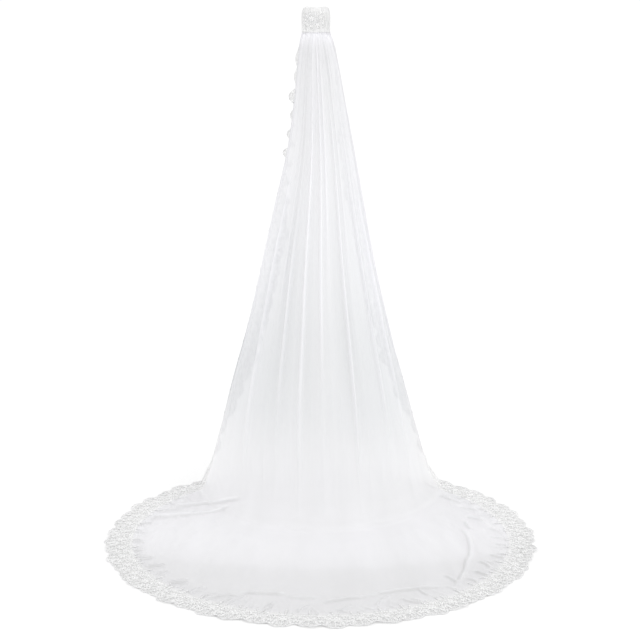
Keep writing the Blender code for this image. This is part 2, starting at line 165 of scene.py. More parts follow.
# Creases of the train, from one end to the other, with how far the middle bows sideways, and
# half the width and the height of the ridge. Where one runs up the foot of the fall, its Y
# counts the height over the floor as well, as on cloth rolled out flat.
Crease = namedtuple("Crease", "x0 y0 x1 y1 bow width height")
CREASES = (
    Crease(-0.512, -0.252, -0.372, -0.204, 0.002, 0.013, 0.0065),
    Crease(-0.420, -0.209, -0.245, -0.268, 0.002, 0.008, 0.0055),
    Crease(-0.604, -0.366, -0.430, -0.320, 0.003, 0.014, 0.0070),
    Crease(-0.480, -0.334, -0.290, -0.268, -0.003, 0.010, 0.0060),
    Crease(-0.560, -0.300, -0.450, -0.280, 0.004, 0.005, 0.0030),
    Crease(-0.612, -0.408, -0.555, -0.418, 0.003, 0.005, 0.0045),
    Crease(-0.622, -0.483, -0.575, -0.503, -0.004, 0.005, 0.0050),
    Crease(-0.618, -0.573, -0.560, -0.590, 0.004, 0.006, 0.0055),
    Crease(-0.604, -0.665, -0.560, -0.655, 0.003, 0.005, 0.0045),
    Crease(-0.575, -0.730, -0.520, -0.712, -0.005, 0.006, 0.0050),
    Crease(-0.545, -0.795, -0.470, -0.780, 0.006, 0.006, 0.0060),
    Crease(-0.500, -0.860, -0.455, -0.830, 0.004, 0.005, 0.0040),
    Crease(-0.462, -0.919, -0.390, -0.890, -0.006, 0.006, 0.0060),
    Crease(-0.425, -0.965, -0.385, -0.925, 0.004, 0.005, 0.0040),
    Crease(-0.385, -1.012, -0.335, -0.950, 0.006, 0.006, 0.0060),
    Crease(-0.330, -1.035, -0.225, -1.012, 0.008, 0.006, 0.0055),
    Crease(-0.262, -1.085, -0.205, -1.010, -0.008, 0.006, 0.0065),
    Crease(-0.235, -0.995, -0.080, -1.012, 0.010, 0.008, 0.0070),
    Crease(-0.150, -1.120, -0.115, -1.060, 0.004, 0.005, 0.0045),
    Crease(-0.090, -1.022, 0.010, -1.030, -0.004, 0.006, 0.0050),
    Crease(-0.045, -1.130, -0.005, -1.075, 0.005, 0.005, 0.0050),
    Crease(0.005, -1.075, 0.170, -1.020, 0.008, 0.007, 0.0065),
    Crease(0.060, -1.130, 0.110, -1.085, -0.004, 0.005, 0.0050),
    Crease(0.150, -1.022, 0.400, -0.945, 0.012, 0.008, 0.0070),
    Crease(0.180, -1.095, 0.230, -1.020, 0.006, 0.006, 0.0050),
    Crease(0.255, -1.035, 0.325, -1.070, -0.006, 0.006, 0.0055),
    Crease(0.350, -1.020, 0.315, -0.965, 0.004, 0.005, 0.0045),
    Crease(0.400, -0.860, 0.440, -0.925, 0.006, 0.006, 0.0055),
    Crease(0.498, -0.440, 0.476, -0.810, 0.024, 0.007, 0.0060),
    Crease(0.492, -0.700, 0.425, -0.960, 0.012, 0.007, 0.0060),
    Crease(0.515, -0.350, 0.585, -0.400, 0.004, 0.005, 0.0055),
    Crease(0.518, -0.389, 0.532, -0.480, -0.006, 0.005, 0.0050),
    Crease(0.560, -0.335, 0.618, -0.352, 0.003, 0.005, 0.0045),
    Crease(0.590, -0.465, 0.640, -0.500, -0.004, 0.006, 0.0060),
    Crease(0.580, -0.540, 0.632, -0.552, 0.003, 0.005, 0.0040),
    Crease(0.590, -0.605, 0.640, -0.618, 0.004, 0.006, 0.0060),
    Crease(0.560, -0.690, 0.620, -0.720, -0.005, 0.006, 0.0055),
    Crease(0.520, -0.745, 0.560, -0.810, 0.006, 0.006, 0.0060),
    Crease(0.500, -0.825, 0.560, -0.865, -0.005, 0.006, 0.0055),
    Crease(0.470, -0.880, 0.515, -0.940, 0.005, 0.005, 0.0050),
    Crease(0.330, 0.010, 0.395, -0.065, 0.004, 0.007, 0.0045),
    Crease(0.450, -0.120, 0.525, -0.215, -0.006, 0.007, 0.0055),
    Crease(0.505, -0.260, 0.575, -0.290, 0.005, 0.006, 0.0050),
)
CREASE_TAPER = 0.25  # share of a crease's length in which each end dies away
CREASE_SLOPE = 0.45  # steeper than this its painted shade lies on its left, otherwise on its right
SHADE_OFFSET = 1.1  # how far beside a ridge its painted shade lies, in its half widths
SHADE_WIDTH = 0.5  # half the width of that painted shade, in the same measure
CREASE_LIGHT = 0.32  # painted highlight: how much lighter the net reads along a ridge
CREASE_SHADE = 0.54  # and how much darker the painted shade beside it is
CREASE_REACH = (0.05, 0.085)  # heights over the floor between which creases die away
FULL_CREASE = 0.007  # height of a crease that has all of that painted highlight
EDGE_FADE = 0.012  # the way from the cut edge in which creases and ripples reach full height

# Painted light and shade on the net, as how light it reads: up the fall by height over the floor,
# and over the train by how far behind the comb it lies.
HEIGHT_TONES = (
    (0.00, 0.04, 0.10, 0.19, 0.27, 0.36, 0.50, 0.62, 0.77, 0.93, 1.10, 1.20, 1.43, 1.59, 1.64),
    (0.58, 0.60, 0.55, 0.44, 0.29, 0.16, 0.10, 0.13, 0.26, 0.37, 0.45, 0.47, 0.42, 0.43, 0.98),
)
TRAIN_TONES = (
    (-1.15, -1.00, -0.90, -0.84, -0.78, -0.70, -0.60, -0.52, -0.45, -0.30),
    (0.46, 0.48, 0.50, 0.55, 0.73, 0.82, 0.86, 0.84, 0.83, 0.79),
)
TONE_BOW = 0.40  # how much those places curve forward towards the sides, a metre
# How cool the painted shade on the net reads, by height over the floor.
HEIGHT_COOLS = ((0.10, 0.35, 0.95, 1.25, 1.65), (0.0, 0.95, 0.95, 0.45, 0.35))
COOL_PLACE = 0.5  # all of that from this place out to each side,
COOL_MIDDLE = 0.6  # and this share of it in the middle
FOOT_LINE = 0.026  # how far before the floor the painted shade on the net is darkest, where it turns to lie
FOOT_TONE = 0.12  # how much darker that painted shade is,
FOOT_SPREAD = 0.018  # and how far that reaches
LEAN_TONE = 0.12  # darker towards its right end and lighter towards its left, near the foot
EDGE_TONE = 0.22  # painted light: lighter towards the side edges,
EDGE_PLACES = (0.25, 0.55)  # from the first of these places on, in full from the second,
EDGE_HEIGHT = 0.79  # most at this height over the floor,
EDGE_SPREAD = 0.30  # and how far up and down
PANEL_TONE = 0.07  # how much the broad panels between the folds differ
CREST_TONE = 0.56  # painted highlight: how much lighter a full crest reads
FOLD_CREST = 0.7  # share of that full painted highlight that the folds' crests have
FINE_CREST = 0.4  # height over which a fine gather counts as a crest with painted highlight
FOLDED_HEIGHTS = (0.20, 0.50)  # heights over the floor between which the folds fade in
STANDING_HEIGHTS = (0.002, 0.022)  # and between which lying cloth turns to hanging cloth
GATHERED_COVER = 0.25  # layers that each time over adds to the cover
CREST_COVER = 0.5  # shares by which crests and tucks close what the net leaves open
TUCK_COVER = 0.6

RIPPLES = 132  # short radial ripples that the lace draws into the tulle
RIPPLE_HEIGHT = 0.0026
RIPPLE_REACH = (0.035, 0.080)  # how far in from the edge they run
# painted shade beside each ripple, as a share
RIPPLE_SHADE = 0.80
RIPPLE_SWAY = 6.0  # how far they lean over all round, in ripples a metre,
RIPPLE_LEAN = 24.0  # and at the back of the train

# The lace edging.
LACE_SEAM = 0.0004  # between the tulle's edge and the lace
LACE_REPEAT = 0.070
LARGE_NOTCH = 0.015  # depth of the notches between scallops,
SMALL_NOTCH = 0.006  # and of the small one in the middle of each
NOTCH_SHAPE = 0.8
LACE_UNEVEN = (0.055, 0.035)  # shares by which its width wanders, slowly and quickly
FLUTE_HEIGHT = 0.005  # of the soft waves in its outer edge
LACE_START = 0.055  # the drop at which it starts
WIDTH_DROPS = (LACE_START, LACE_START + 0.03, 0.45)  # it has its full width from the last,
START_WIDTHS = (0.002, 0.016)  # and these at the others
LACE_LIFT = 0.0009  # of the net over the floor
LIFT_GAIN = 1.5  # a narrow stretch has this much of the relief for each share of the width,
LEAST_RELIEF = 0.35  # and at least this share of it
FLOOR_RELIEF = 0.8  # share of it that stands over the floor
# How far the lace turns out from the tulle on its way down each front edge, in degrees.
FLARE_DROPS = (0.055, 0.12, 0.52, 0.70, 1.00, 1.50, 1.63)
LEFT_FLARE = (44.0, 50.0, 46.0, 0.0, -12.0, -12.0, 0.0)
RIGHT_FLARE = (0.0, 0.0, 0.0, 0.0, -12.0, -12.0, 0.0)
NO_FLARE = (0.0,) * 7
NOTCH_CURL = 0.42  # share of that in the notches,
CURL_UNEVEN = (0.40, 0.80)  # and the shares between which a scallop's middle adds to it
STATIONS = 16  # along one scallop
NET_SHARES = (0.0, 0.12, 0.25, 0.38, 0.50, 0.625, 0.75, 0.875, 1.0)
OVERLAP = 0.004  # of the lace over the tulle
NET_HEIGHT = 0.0004
LACE_CELL = 0.0011
EYELET_ROW = 6
EYELET_COLUMNS = (6, 10)
EYELET_PULL = 0.0035  # how far the net beside an eyelet's middle is drawn in

# How light the lace reads, as painted shade and painted light: its net by share of the width, all
# of it by place.
LACE_TONES = ((0.0, 0.10, 0.40, 0.90), (0.86, 0.82, 0.77, 0.68))
CORNER_LIGHT = 0.30  # painted light: how much lighter the corners of the train are,
CORNER_LIGHT_PLACES = (-0.62, -0.22)  # from none to all of that between these Y,
CORNER_LEFT_SHARE = 0.6  # and the left corner's share of it
FRONT_LIGHT = 0.20  # painted light: how much lighter the front edges are below the second of these drops
FRONT_LIGHT_DROPS = (0.5, 0.7)
LACE_LYING = 0.05  # height over the floor up to which the lace counts as lying

# The embroidery. Places are across from a scallop's middle and out from the seam.
MILLIMETRE = 0.001
MOTIF_LIFT = 0.0006  # of its raised parts over the cloth
SPRIG_LIFT = 0.0005
SEED_SHARE = 0.32  # size of the seed in a flower's middle, to a petal's length,
SEED_HEIGHT = 1.3  # and to its height
PETAL_WAIST = 0.45  # how much narrower a petal is at its root
PETAL_UNDERSIDE = 0.25  # height of its underside, to its upper side
PETAL_GROOVE = 0.35  # depth of the groove down its middle, to its height,
PETAL_GROOVE_WIDTH = 0.12  # and half the groove's width, to its length
LEAF_POINT = 0.55  # how much narrower a leaf is at both ends
CORD_STEPS = 26  # of a cord, along one scallop
CORD_UP = 0.001  # a step off the cloth that shows which way is up
RIM_INSET = 0.0012
INNER_INSET = 0.0095
INNER_NOTCH = 0.75  # share of the notches that the inner cord follows
VINE_OUT = 0.016
VINE_WAVE = 0.0045
RING_STEPS = 13
RING_PLACE = (0.00875, 0.0635)
RING_SIZE = (0.0050, 0.0102)
SCROLL_STEPS = 14
SCROLL_PLACE = (0.0235, 0.0395)
SCROLL_SIZE = 0.0095
SCROLL_START = math.radians(40)
SCROLL_TURN = 4.6  # how far a scroll winds, in radians,
SCROLL_SHRINK = 0.62  # and how much smaller it ends
SCROLL_SQUASH = 0.9
RIM_BEADS = 13  # in one scallop
BEAD_SIZE = 0.0028
BEAD_HEIGHT = 0.0013
BEAD_INSET = 0.0053
BEAD_NOTCH = 0.9  # share of the notches that the beads follow

# The heading, level cuts from its foot to its crown.
HEADING_BACK = 0.0102
HEADING_ROUNDS = (0.55, 0.70)  # powers that square off its rounded cut, across and in depth
HEADING_ROWS = 28
HEADING_CROWD = 1.6  # the power by which the rows crowd towards its crown
HEADING_THIN = 0.0003  # least half depth of a round, at the crown,
HEADING_NARROW = 0.003  # and of the cut in which pleats are pressed in full
PLEAT_STEPS = 10
PLEAT_UNEVEN = (0.24, 1.0)
RAGGED_TOP = 0.0016
LAP_SPREAD = (0.04, 0.24)  # how much wider and deeper the lower edge of the lap is
HEADING_TONES = (0.80, 0.96)  # how light it reads: painted shade in its valleys and painted highlight on its crests
HEADING_LAYERS = 1.5
# The rounds of cloth in it: how far inside the shape, pleats, their depth, how much lower
# the upper edge is, and how far the lower edge laps over the fall.
Frill = namedtuple("Frill", "name inset pleats depth lower lap")
FRILLS = (
    Frill("heading_outer_frill", 0.0002, 46, 0.0022, 0.0, 0.0040),
    Frill("heading_inner_frill", 0.0034, 38, 0.0020, 0.006, 0.0),
)
Cut = namedtuple("Cut", "height half_width half_depth")
HEADING_SECTIONS = (
    Cut(0.0000, 0.0500, 0.0095),
    Cut(0.0200, 0.0505, 0.0107),
    Cut(0.0480, 0.0505, 0.0110),
    Cut(0.0660, 0.0495, 0.0102),
    Cut(0.0770, 0.0455, 0.0070),
    Cut(0.0812, 0.0395, 0.0036),
    Cut(0.0830, 0.0330, 0.0006),
)

# The motif on the heading's back.
MOTIF_MIDDLE = (-0.004, 0.036)
MOTIF_SIZE = (0.038, 0.029)
MOTIF_COLUMNS = 61
MOTIF_ROWS = 13
MOTIF_LOBES = 5
LOBE_SHAPE = 0.6
LOBE_DEPTH = 0.12
OVAL_END = 0.12  # keeps the oval's two ends blunt
PROUD = 0.0006  # of its foot over the heading,
MOTIF_NET_LIFT = 0.0002  # of its net over that,
PETAL_LIFT = 0.0004  # and of its petals and leaves
MOTIF_CELL = 0.0009
MOTIF_TONE = 0.95
MOTIF_COVER = 0.55
MOTIF_LIGHT = 0.22
MOTIF_RELIEF = 0.0012
INNER_PETALS = (0.5, 0.7)  # length and width of a bloom's inner petals, to its outer ones
RIM_THREAD = 0.0006  # radius of the thread round its edge, and its lift
RIM_RUN = 0.03  # length of thread that its pattern takes for each radian
RIM_ENDS = 4  # how quickly the rim turns from the upper edge to the lower at its ends
RIM_POINTS = 121
PEARL_BLOOM = 8.5  # length in millimetres of the petals round a full pearl
PEARL_SHARE = 0.62  # size of the pearls past the leaves' tips, to a full one,
PEARL_GAP = 1.6  # and how far past them, in millimetres
GOLDEN_ANGLE = 2.39996
CRYSTAL_MIDDLE = (-0.014, 0.042)
CRYSTAL_SPREAD = (0.026, 0.021)
CRYSTAL_SIZES = (0.40, 0.84)
BEAD_SEAT = (0.0008, 0.7)  # a bead's middle lies this far and this share of its radius up

# The comb.
COMB_WIDTH = 0.078
COMB_TEETH = 13
COMB_PLATE = 0.0018
COMB_BAR = 0.009
TOOTH_LENGTH = 0.042
TOOTH_ROOT = 0.0030
TOOTH_TIP = 0.0014
COMB_REACH = 0.010  # how far forwards the tips of its teeth reach
COMB_BEVEL = 0.0005
TOOTH_STEPS = 7
TOOTH_END = 0.45  # the width of a tooth's end, to its tip
NEAR = 1e-5  # how close a corner's height counts as on a level
NEAR_TOOTH = 0.02  # the same for a tooth's middle, in the teeth's pitch
STITCH_LEANS = (-0.0005, 0.0006)
STITCH_POINTS = 15
STITCH_PLACE = 0.0009  # Y of a stitch's middle,
STITCH_DEPTH = 0.0016  # half its depth
STITCH_HEIGHT = 0.0054  # and half its height
STITCH_RADIUS = 0.00035
STITCH_RUN = 0.002  # length of thread that its pattern takes for each radian

# The stage.
FLOOR_SIZE = 40.0
FLOOR_GAP = 0.0003  # the floor lies this much under the veil
WORLD_STRENGTH = 1.05
KEY_STRENGTH = 0.3
KEY_ANGLE = 45
KEY_TURN = (52, 0, 68)
LENS = 79.6
SENSOR = 36.0
CAMERA_PLACE = (0.014, -5.0, 0.115)
CAMERA_DROP = 12.86  # degrees that the camera looks down


# ---------------------------------------------------------------- settings
def length_setting(name, description, default):
    return FloatProperty(name=name, description=description, default=default, unit="LENGTH")


def share_setting(name, description, default):
    return FloatProperty(name=name, description=description, default=default, subtype="FACTOR")


def colour_setting(name, description, default):
    return FloatVectorProperty(
        name=name, description=description, default=default, size=3, subtype="COLOR"
    )


class VeilSizes(bpy.types.PropertyGroup):
    """Sizes that change the veil without leaving its solids"""

    train_radius: length_setting(
        "Train radius", "From the train's centre to the tips of the lace", 0.718
    )
    lace_width: length_setting(
        "Lace width", "From the tulle's edge to the tips of the scallops", 0.088
    )
    cut_width: length_setting("Cut width", "Width of the tulle before it was gathered", 1.5)
    cut_length: length_setting("Cut length", "Length of the tulle before it was gathered", 2.65)
    cut_area: FloatProperty(
        name="Cut area",
        description="Flat area of the tulle with its rounded end, in square metres",
        default=3.0,
    )
    trough: share_setting("Trough depth", "Scale of the troughs between the folds", 1.0)
    net_cell: length_setting("Net cell", "Width of one hexagon of the tulle", 0.0016)
    bead_radius: length_setting("Bead radius", "Radius of the pearls on the heading", 0.0014)
    bead_count: IntProperty(
        name="Beads", description="Cut crystals on the heading's lace", default=52
    )


class VeilLooks(bpy.types.PropertyGroup):
    """Colours and sheerness"""

    tulle: colour_setting(
        "Tulle", "Colour of the tulle where it reads lightest", (0.976, 0.972, 1.0)
    )
    # The colour of the painted shade on the tulle where it hangs free.
    tulle_shade: colour_setting(
        "Deep tulle",
        "Colour of the tulle where it reads darkest and hangs free",
        (0.640, 0.656, 0.674),
    )
    net: colour_setting(
        "Net",
        "Colour of the heading and of the lace's net where they read lightest",
        (1.0, 1.0, 1.0),
    )
    lace: colour_setting("Lace", "Colour of the embroidery", (0.93, 0.93, 0.93))
    comb: colour_setting("Comb", "Colour of the comb", (0.86, 0.87, 0.89))
    floor: colour_setting("Floor", "Colour of the floor", (0.97, 0.97, 0.97))
    cover: share_setting(
        "Cover", "Share of the view that one flat layer of tulle covers", 0.72
    )
    lace_cover: share_setting(
        "Lace cover", "Share of the view that the lace's net covers", 0.55
    )


class VeilSettings(bpy.types.PropertyGroup):
    """All of the veil's settings"""

    sizes: PointerProperty(type=VeilSizes)
    looks: PointerProperty(type=VeilLooks)


def sizes():
    return bpy.context.scene.veil.sizes


def looks():
    return bpy.context.scene.veil.looks


# ---------------------------------------------------------------- materials
NET_STEEPNESS = 0.8  # how steeply a net's threads rise from its cells
NET_COVERS = (0.82, 0.30, 0.10)  # share of the cover in the cells, more on threads, unevenness
NET_STREAKS = (9.0, 1.8, 1.0)  # uneven streaks to a metre, across, down and through the cloth
STREAK_TONE = 0.25
LYING_SHADE = (0.655, 0.655, 0.657, 1.0)  # colour of the net's painted shade at its darkest, where it lies on the floor
STITCH_PITCH = 0.0007
SCUFFS = (900.0, 400.0, 60.0)  # scuffs of the comb to a metre, drawn out along the teeth


class Shade:
    """One output of a material's nodes. Arithmetic on it adds Math nodes."""

    def __init__(self, look, socket):
        self.look = look
        self.socket = socket

    def math(self, operation, *values):
        return self.look.node("ShaderNodeMath", {"operation": operation}, values)

    def __add__(self, other):
        return self.math("ADD", self, other)

    def __radd__(self, other):
        return self.math("ADD", other, self)

    def __sub__(self, other):
        return self.math("SUBTRACT", self, other)

    def __rsub__(self, other):
        return self.math("SUBTRACT", other, self)

    def __mul__(self, other):
        return self.math("MULTIPLY", self, other)

    def __rmul__(self, other):
        return self.math("MULTIPLY", other, self)

    def cosine(self):
        return self.math("COSINE", self)

    def clamped(self):
        return self.math("MINIMUM", self.math("MAXIMUM", self, 0.0), 1.0)


class Look:
    """A material in the making: its nodes, and what feeds its shader."""

    def __init__(self, name, constants):
        self.material = bpy.data.materials.new(name)
        self.material.use_nodes = True
        self.tree = self.material.node_tree
        self.shader = self.tree.nodes["Principled BSDF"]
        for key, value in constants.items():
            self.shader.inputs[key].default_value = value

    def feed(self, socket, value):
        """Links an output to a socket, or sets the socket's own value."""
        if isinstance(value, Shade):
            self.tree.links.new(value.socket, socket)
        else:
            socket.default_value = value

    def node(self, kind, settings, values, output=0):
        """Adds a node: its settings first, then its inputs by place or by name."""
        node = self.tree.nodes.new(kind)
        for key, value in settings.items():
            setattr(node, key, value)
        for key, value in values.items() if isinstance(values, dict) else enumerate(values):
            self.feed(node.inputs[key], value)
        return Shade(self, node.outputs[output])

    def set(self, socket, value):
        """Feeds one of the shader's sockets."""
        self.feed(self.shader.inputs[socket], value)

    def attribute(self, name, output="Fac"):
        return self.node("ShaderNodeAttribute", {"attribute_name": name}, (), output)

    def place(self):
        """The place in the part's own metres."""
        return self.node("ShaderNodeTexCoord", {}, (), "Object")

    def scaled(self, vector, scale):
        return self.node("ShaderNodeMapping", {}, {"Vector": vector, "Scale": scale})

    def parts_of(self, vector):
        """The X and the Y of a vector."""
        x = self.node("ShaderNodeSeparateXYZ", {}, (vector,))
        return x, Shade(self, x.socket.node.outputs[1])

    def mixed(self, factor, first, second):
        """A colour between two others."""
        values = {0: factor, 6: first, 7: second}
        return self.node("ShaderNodeMix", {"data_type": "RGBA"}, values, 2)

    def noise(self, place, scale, detail=2.0):
        values = {"Vector": place, "Scale": scale, "Detail": detail}
        return self.node("ShaderNodeTexNoise", {}, values, "Fac")

    def bump(self, height, distance, strength):
        values = {"Height": height, "Distance": distance, "Strength": strength}
        self.set("Normal", self.node("ShaderNodeBump", {}, values))


def tinted(colour, factor=1.0):
    return (*(min(1.0, c * factor) for c in colour), 1.0)


def hexagon_threads(look, cell):
    """1 on the threads of a hexagonal net and 0 in its cells, on the flat cloth."""
    x, y = look.parts_of(look.attribute("cloth", "Vector"))
    turn = 2 * math.pi / cell
    high = math.sqrt(3) / 2
    waves = (x * turn).cosine()
    waves = waves + (x * (turn / 2) + y * (turn * high)).cosine()
    waves = waves + (x * (turn / 2) - y * (turn * high)).cosine()
    return ((0.5 - waves) * NET_STEEPNESS).clamped()


def tulle_material(name, light, cell):
    """Sheer net: its painted light and shade, how cool that shade is, and how much it covers come
    from attributes on the cloth.
    """
    constants = {"Roughness": 0.62, "Sheen Weight": 0.4, "Sheen Roughness": 0.4}
    look = Look(name, {**constants, "Specular IOR Level": 0.25})
    threads = hexagon_threads(look, cell)
    streaks = look.scaled(look.attribute("cloth", "Vector"), NET_STREAKS)
    uneven = look.noise(streaks, 1.0, 3.0) - 0.5
    # tone paints light and shade on the net, besides its uneven streaks.
    tone = (look.attribute("tone") + uneven * STREAK_TONE).clamped()
    # deep is the colour of the painted shade: grey where the net lies, cooler where it hangs free.
    deep = look.mixed(look.attribute("cool"), LYING_SHADE, tinted(looks().tulle_shade))
    look.set("Base Color", look.mixed(tone, deep, tinted(light)))
    cells, more, wander = NET_COVERS
    cover = look.attribute("cover") * (cells + threads * more + uneven * wander)
    look.set("Alpha", cover.clamped())
    look.bump(threads, 0.0002, 0.2)
    return look.material


def thread_material():
    """Satin-stitched embroidery thread with the stitches across each petal and cord."""
    constants = {"Sheen Weight": 0.3, "Sheen Roughness": 0.35, "Specular IOR Level": 0.45}
    look = Look("embroidery_thread", constants)
    stitch, _ = look.parts_of(look.attribute("stitch", "Vector"))
    lines = (stitch * (2 * math.pi / STITCH_PITCH)).cosine()
    patches = look.noise(look.place(), 160.0)
    # light is the painted light on the lace, and an even lift on the motif's thread.
    tone = 0.5 + lines * 0.18 + (patches - 0.5) * 0.9 + look.attribute("light")
    colour = looks().lace
    colours = look.mixed(tone.clamped(), tinted(colour, 0.92), tinted(colour, 1.08))
    look.set("Base Color", colours)
    look.set("Roughness", 0.42 + patches * 0.2)
    look.bump(lines, 0.00015, 0.6)
    return look.material


def pearl_material():
    constants = {"Roughness": 0.22, "Coat Weight": 0.6, "Coat Roughness": 0.08}
    look = Look("pearl", constants)
    tone = look.noise(look.place(), 900.0)
    colours = look.mixed(tone, (0.80, 0.78, 0.76, 1.0), (0.93, 0.92, 0.92, 1.0))
    look.set("Base Color", colours)
    return look.material


def crystal_material():
    look = Look("cut_crystal", {"Metallic": 0.85, "Specular IOR Level": 0.8})
    tone = look.noise(look.place(), 1200.0)
    colours = look.mixed(tone, (0.70, 0.73, 0.80, 1.0), (0.97, 0.97, 0.98, 1.0))
    look.set("Base Color", colours)
    look.set("Roughness", 0.06 + tone * 0.12)
    return look.material


def comb_material():
    """Clear satin plastic, scuffed a little along the teeth."""
    look = Look("comb_plastic", {"Transmission Weight": 0.25, "IOR": 1.49, "Coat Weight": 0.3})
    scuffs = look.noise(look.scaled(look.place(), SCUFFS), 1.0, 4.0)
    colour = looks().comb
    look.set("Base Color", look.mixed(scuffs, tinted(colour, 0.94), tinted(colour, 1.03)))
    look.set("Roughness", 0.16 + scuffs * 0.22)
    look.bump(scuffs, 0.0001, 0.25)
    return look.material


def floor_material():
    look = Look("studio_floor", {"Roughness": 0.9, "Specular IOR Level": 0.1})
    tone = look.noise(look.place(), 3.0)
    colour = looks().floor
    look.set("Base Color", look.mixed(tone, tinted(colour, 0.995), tinted(colour)))
    return look.material


# ---------------------------------------------------------------- meshes
def add_piece(name, points, faces, material, **attributes):
    """A smooth mesh at the origin that rides on the part, with values at its points.

    An attribute has one number or one vector for each point, or one number for them all.
    """
    points = np.asarray(points).reshape(-1, 3)
    mesh = bpy.data.meshes.new(name)
    mesh.from_pydata(points.tolist(), [], np.asarray(faces).tolist())
    for label, values in attributes.items():
        values = np.asarray(values, np.float32)
        if not values.ndim:
            values = np.full(len(points), values)
        alone = values.size == len(points)
        kind, field = ("FLOAT", "value") if alone else ("FLOAT_VECTOR", "vector")
        layer = mesh.attributes.new(label, kind, "POINT")
        layer.data.foreach_set(field, values.ravel())
    mesh.materials.append(material)
    mesh.shade_smooth()
    piece = bpy.data.objects.new(name, mesh)
    bpy.context.collection.objects.link(piece)
    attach(piece, "root")
    return piece


def grid_faces(rows, columns, keep=None):
    first = (np.arange(rows - 1)[:, None] * columns + np.arange(columns - 1)).ravel()
    faces = np.stack((first, first + columns, first + columns + 1, first + 1), axis=1)
    return faces if keep is None else faces[keep.ravel()]


def compact(points, faces, *values):
    """Leaves out the points that no face uses."""
    used, flat = np.unique(faces, return_inverse=True)
    return (points[used], flat.reshape(faces.shape), *(v[used] for v in values))


def unit(vectors):
    return vectors / np.maximum(np.linalg.norm(vectors, axis=-1, keepdims=True), 1e-12)


def grid_normals(grid):
    return unit(np.cross(np.gradient(grid, axis=0), np.gradient(grid, axis=1)))


def ramp(value, low, high):
    """0 up to low, 1 from high on, and even between."""
    return np.clip((value - low) / (high - low), 0, 1)


def eased(share):
    return share * share * (3 - 2 * share)


def bell(value, middle, spread):
    return np.exp(-(((value - middle) / spread) ** 2))


def swing(low, high, phase):
    """A value that wanders between low and high. The numbers in its phase only scatter it."""
    return low + (high - low) * (0.5 + 0.5 * np.sin(phase))


def along(points, axis=0):
    """The length run along an axis of a line or grid of points, from 0."""
    steps = np.linalg.norm(np.diff(points, axis=axis), axis=-1)
    return np.concatenate((0 * steps.take([0], axis), np.cumsum(steps, axis)), axis)


def hermite(s, step, start, end, start_slope, end_slope):
    """Points at shares s of a step on the smooth curve between two points."""
    value = (2 * s**3 - 3 * s**2 + 1) * start + (3 * s**2 - 2 * s**3) * end
    return value + ((s**3 - 2 * s**2 + s) * start_slope + (s**3 - s**2) * end_slope) * step


def smooth_rows(grid, counts):
    """Finer rows on a smooth curve down each column of a coarse grid."""
    steps = np.maximum(np.linalg.norm(np.diff(grid, axis=0), axis=2, keepdims=True), 1e-9)
    slopes = np.diff(grid, axis=0) / steps
    inner = (slopes[:-1] * steps[1:] + slopes[1:] * steps[:-1]) / (steps[:-1] + steps[1:])
    slopes = np.concatenate((slopes[:1], inner, slopes[-1:]))
    rows = []
    for i, count in enumerate(counts):
        for s in np.arange(count) / count:
            rows.append(hermite(s, steps[i], grid[i], grid[i + 1], slopes[i], slopes[i + 1]))
    rows.append(grid[-1])
    return np.array(rows)


# ---------------------------------------------------------------- the tulle
Corner = namedtuple("Corner", "place wave swell crest top foot")


def fold_corners():
    """The crests and troughs across the cloth, place from -1 to 1, and its two edges."""
    corners = [Corner(-1.0, 0.0, 0.0, 0.0, FOLDS[0].top, FOLDS[0].foot)]
    for fold, after in zip(FOLDS, (*FOLDS[1:], None)):
        place = fold.bearing / SPREAD
        crest = max(fold.depth, 0.0)
        corners.append(Corner(place, fold.depth, fold.run, crest, fold.top, fold.foot))
        if after:
            place = (fold.bearing + after.bearing) / 2 / SPREAD
            trough = min(fold.depth, after.depth, -LEAST_TROUGH) - TROUGH_DEPTH
            ends = ((fold.top + after.top) / 2, (fold.foot + after.foot) / 2)
            corners.append(Corner(place, trough, 0.0, 0.0, *ends))
    corners.append(Corner(1.0, 0.0, 0.0, 0.0, FOLDS[-1].top, FOLDS[-1].foot))
    return corners


def fold_stations(steps, sharpness):
    """Each field of a Corner as a row of values, at so many steps between corners."""
    corners = fold_corners()
    stations = []
    for start, end in zip(corners, corners[1:]):
        rising = end.wave > start.wave
        for share in np.arange(steps) / steps:
            turn = (1 - math.cos(math.pi * share)) / 2
            near = turn if rising else 1 - turn
            shaped = near**sharpness if rising else 1 - near**sharpness
            even = Corner(*(a + share * (b - a) for a, b in zip(start, end)))
            stations.append(
                even._replace(
                    wave=start.wave + shaped * (end.wave - start.wave),
                    swell=start.swell + turn * (end.swell - start.swell),
                    crest=max(start.crest, end.crest) * near**3,
                )
            )
    stations.append(corners[-1])
    return np.array(stations).T


def fold_share(drop, tops, feet):
    """How much of each fold stands at a drop: all of it between its ends."""
    past = ramp(np.maximum(tops - drop, drop - feet), 0, FOLD_FADE)
    return 1 - (1 - FOLD_REST) * eased(past)


def horseshoe(section, places, waves):
    """A level curve with its folds round the wearer's back, open in front."""
    edge = np.where(places < 0, section.left_edge, section.right_edge)
    bearing = np.radians(places * edge)
    half_width = section.half_width - section.fold
    depth = np.where(np.cos(bearing) >= 0, section.back - section.fold, section.front)
    x = section.axis + half_width * np.sin(bearing)
    curve = np.stack((x, -depth * np.cos(bearing)), axis=1)
    outward = unit(np.stack((depth * np.sin(bearing), -half_width * np.cos(bearing)), axis=1))
    return curve + outward * (waves * section.fold)[:, None]


def tulle_radius():
    return sizes().train_radius - sizes().lace_width


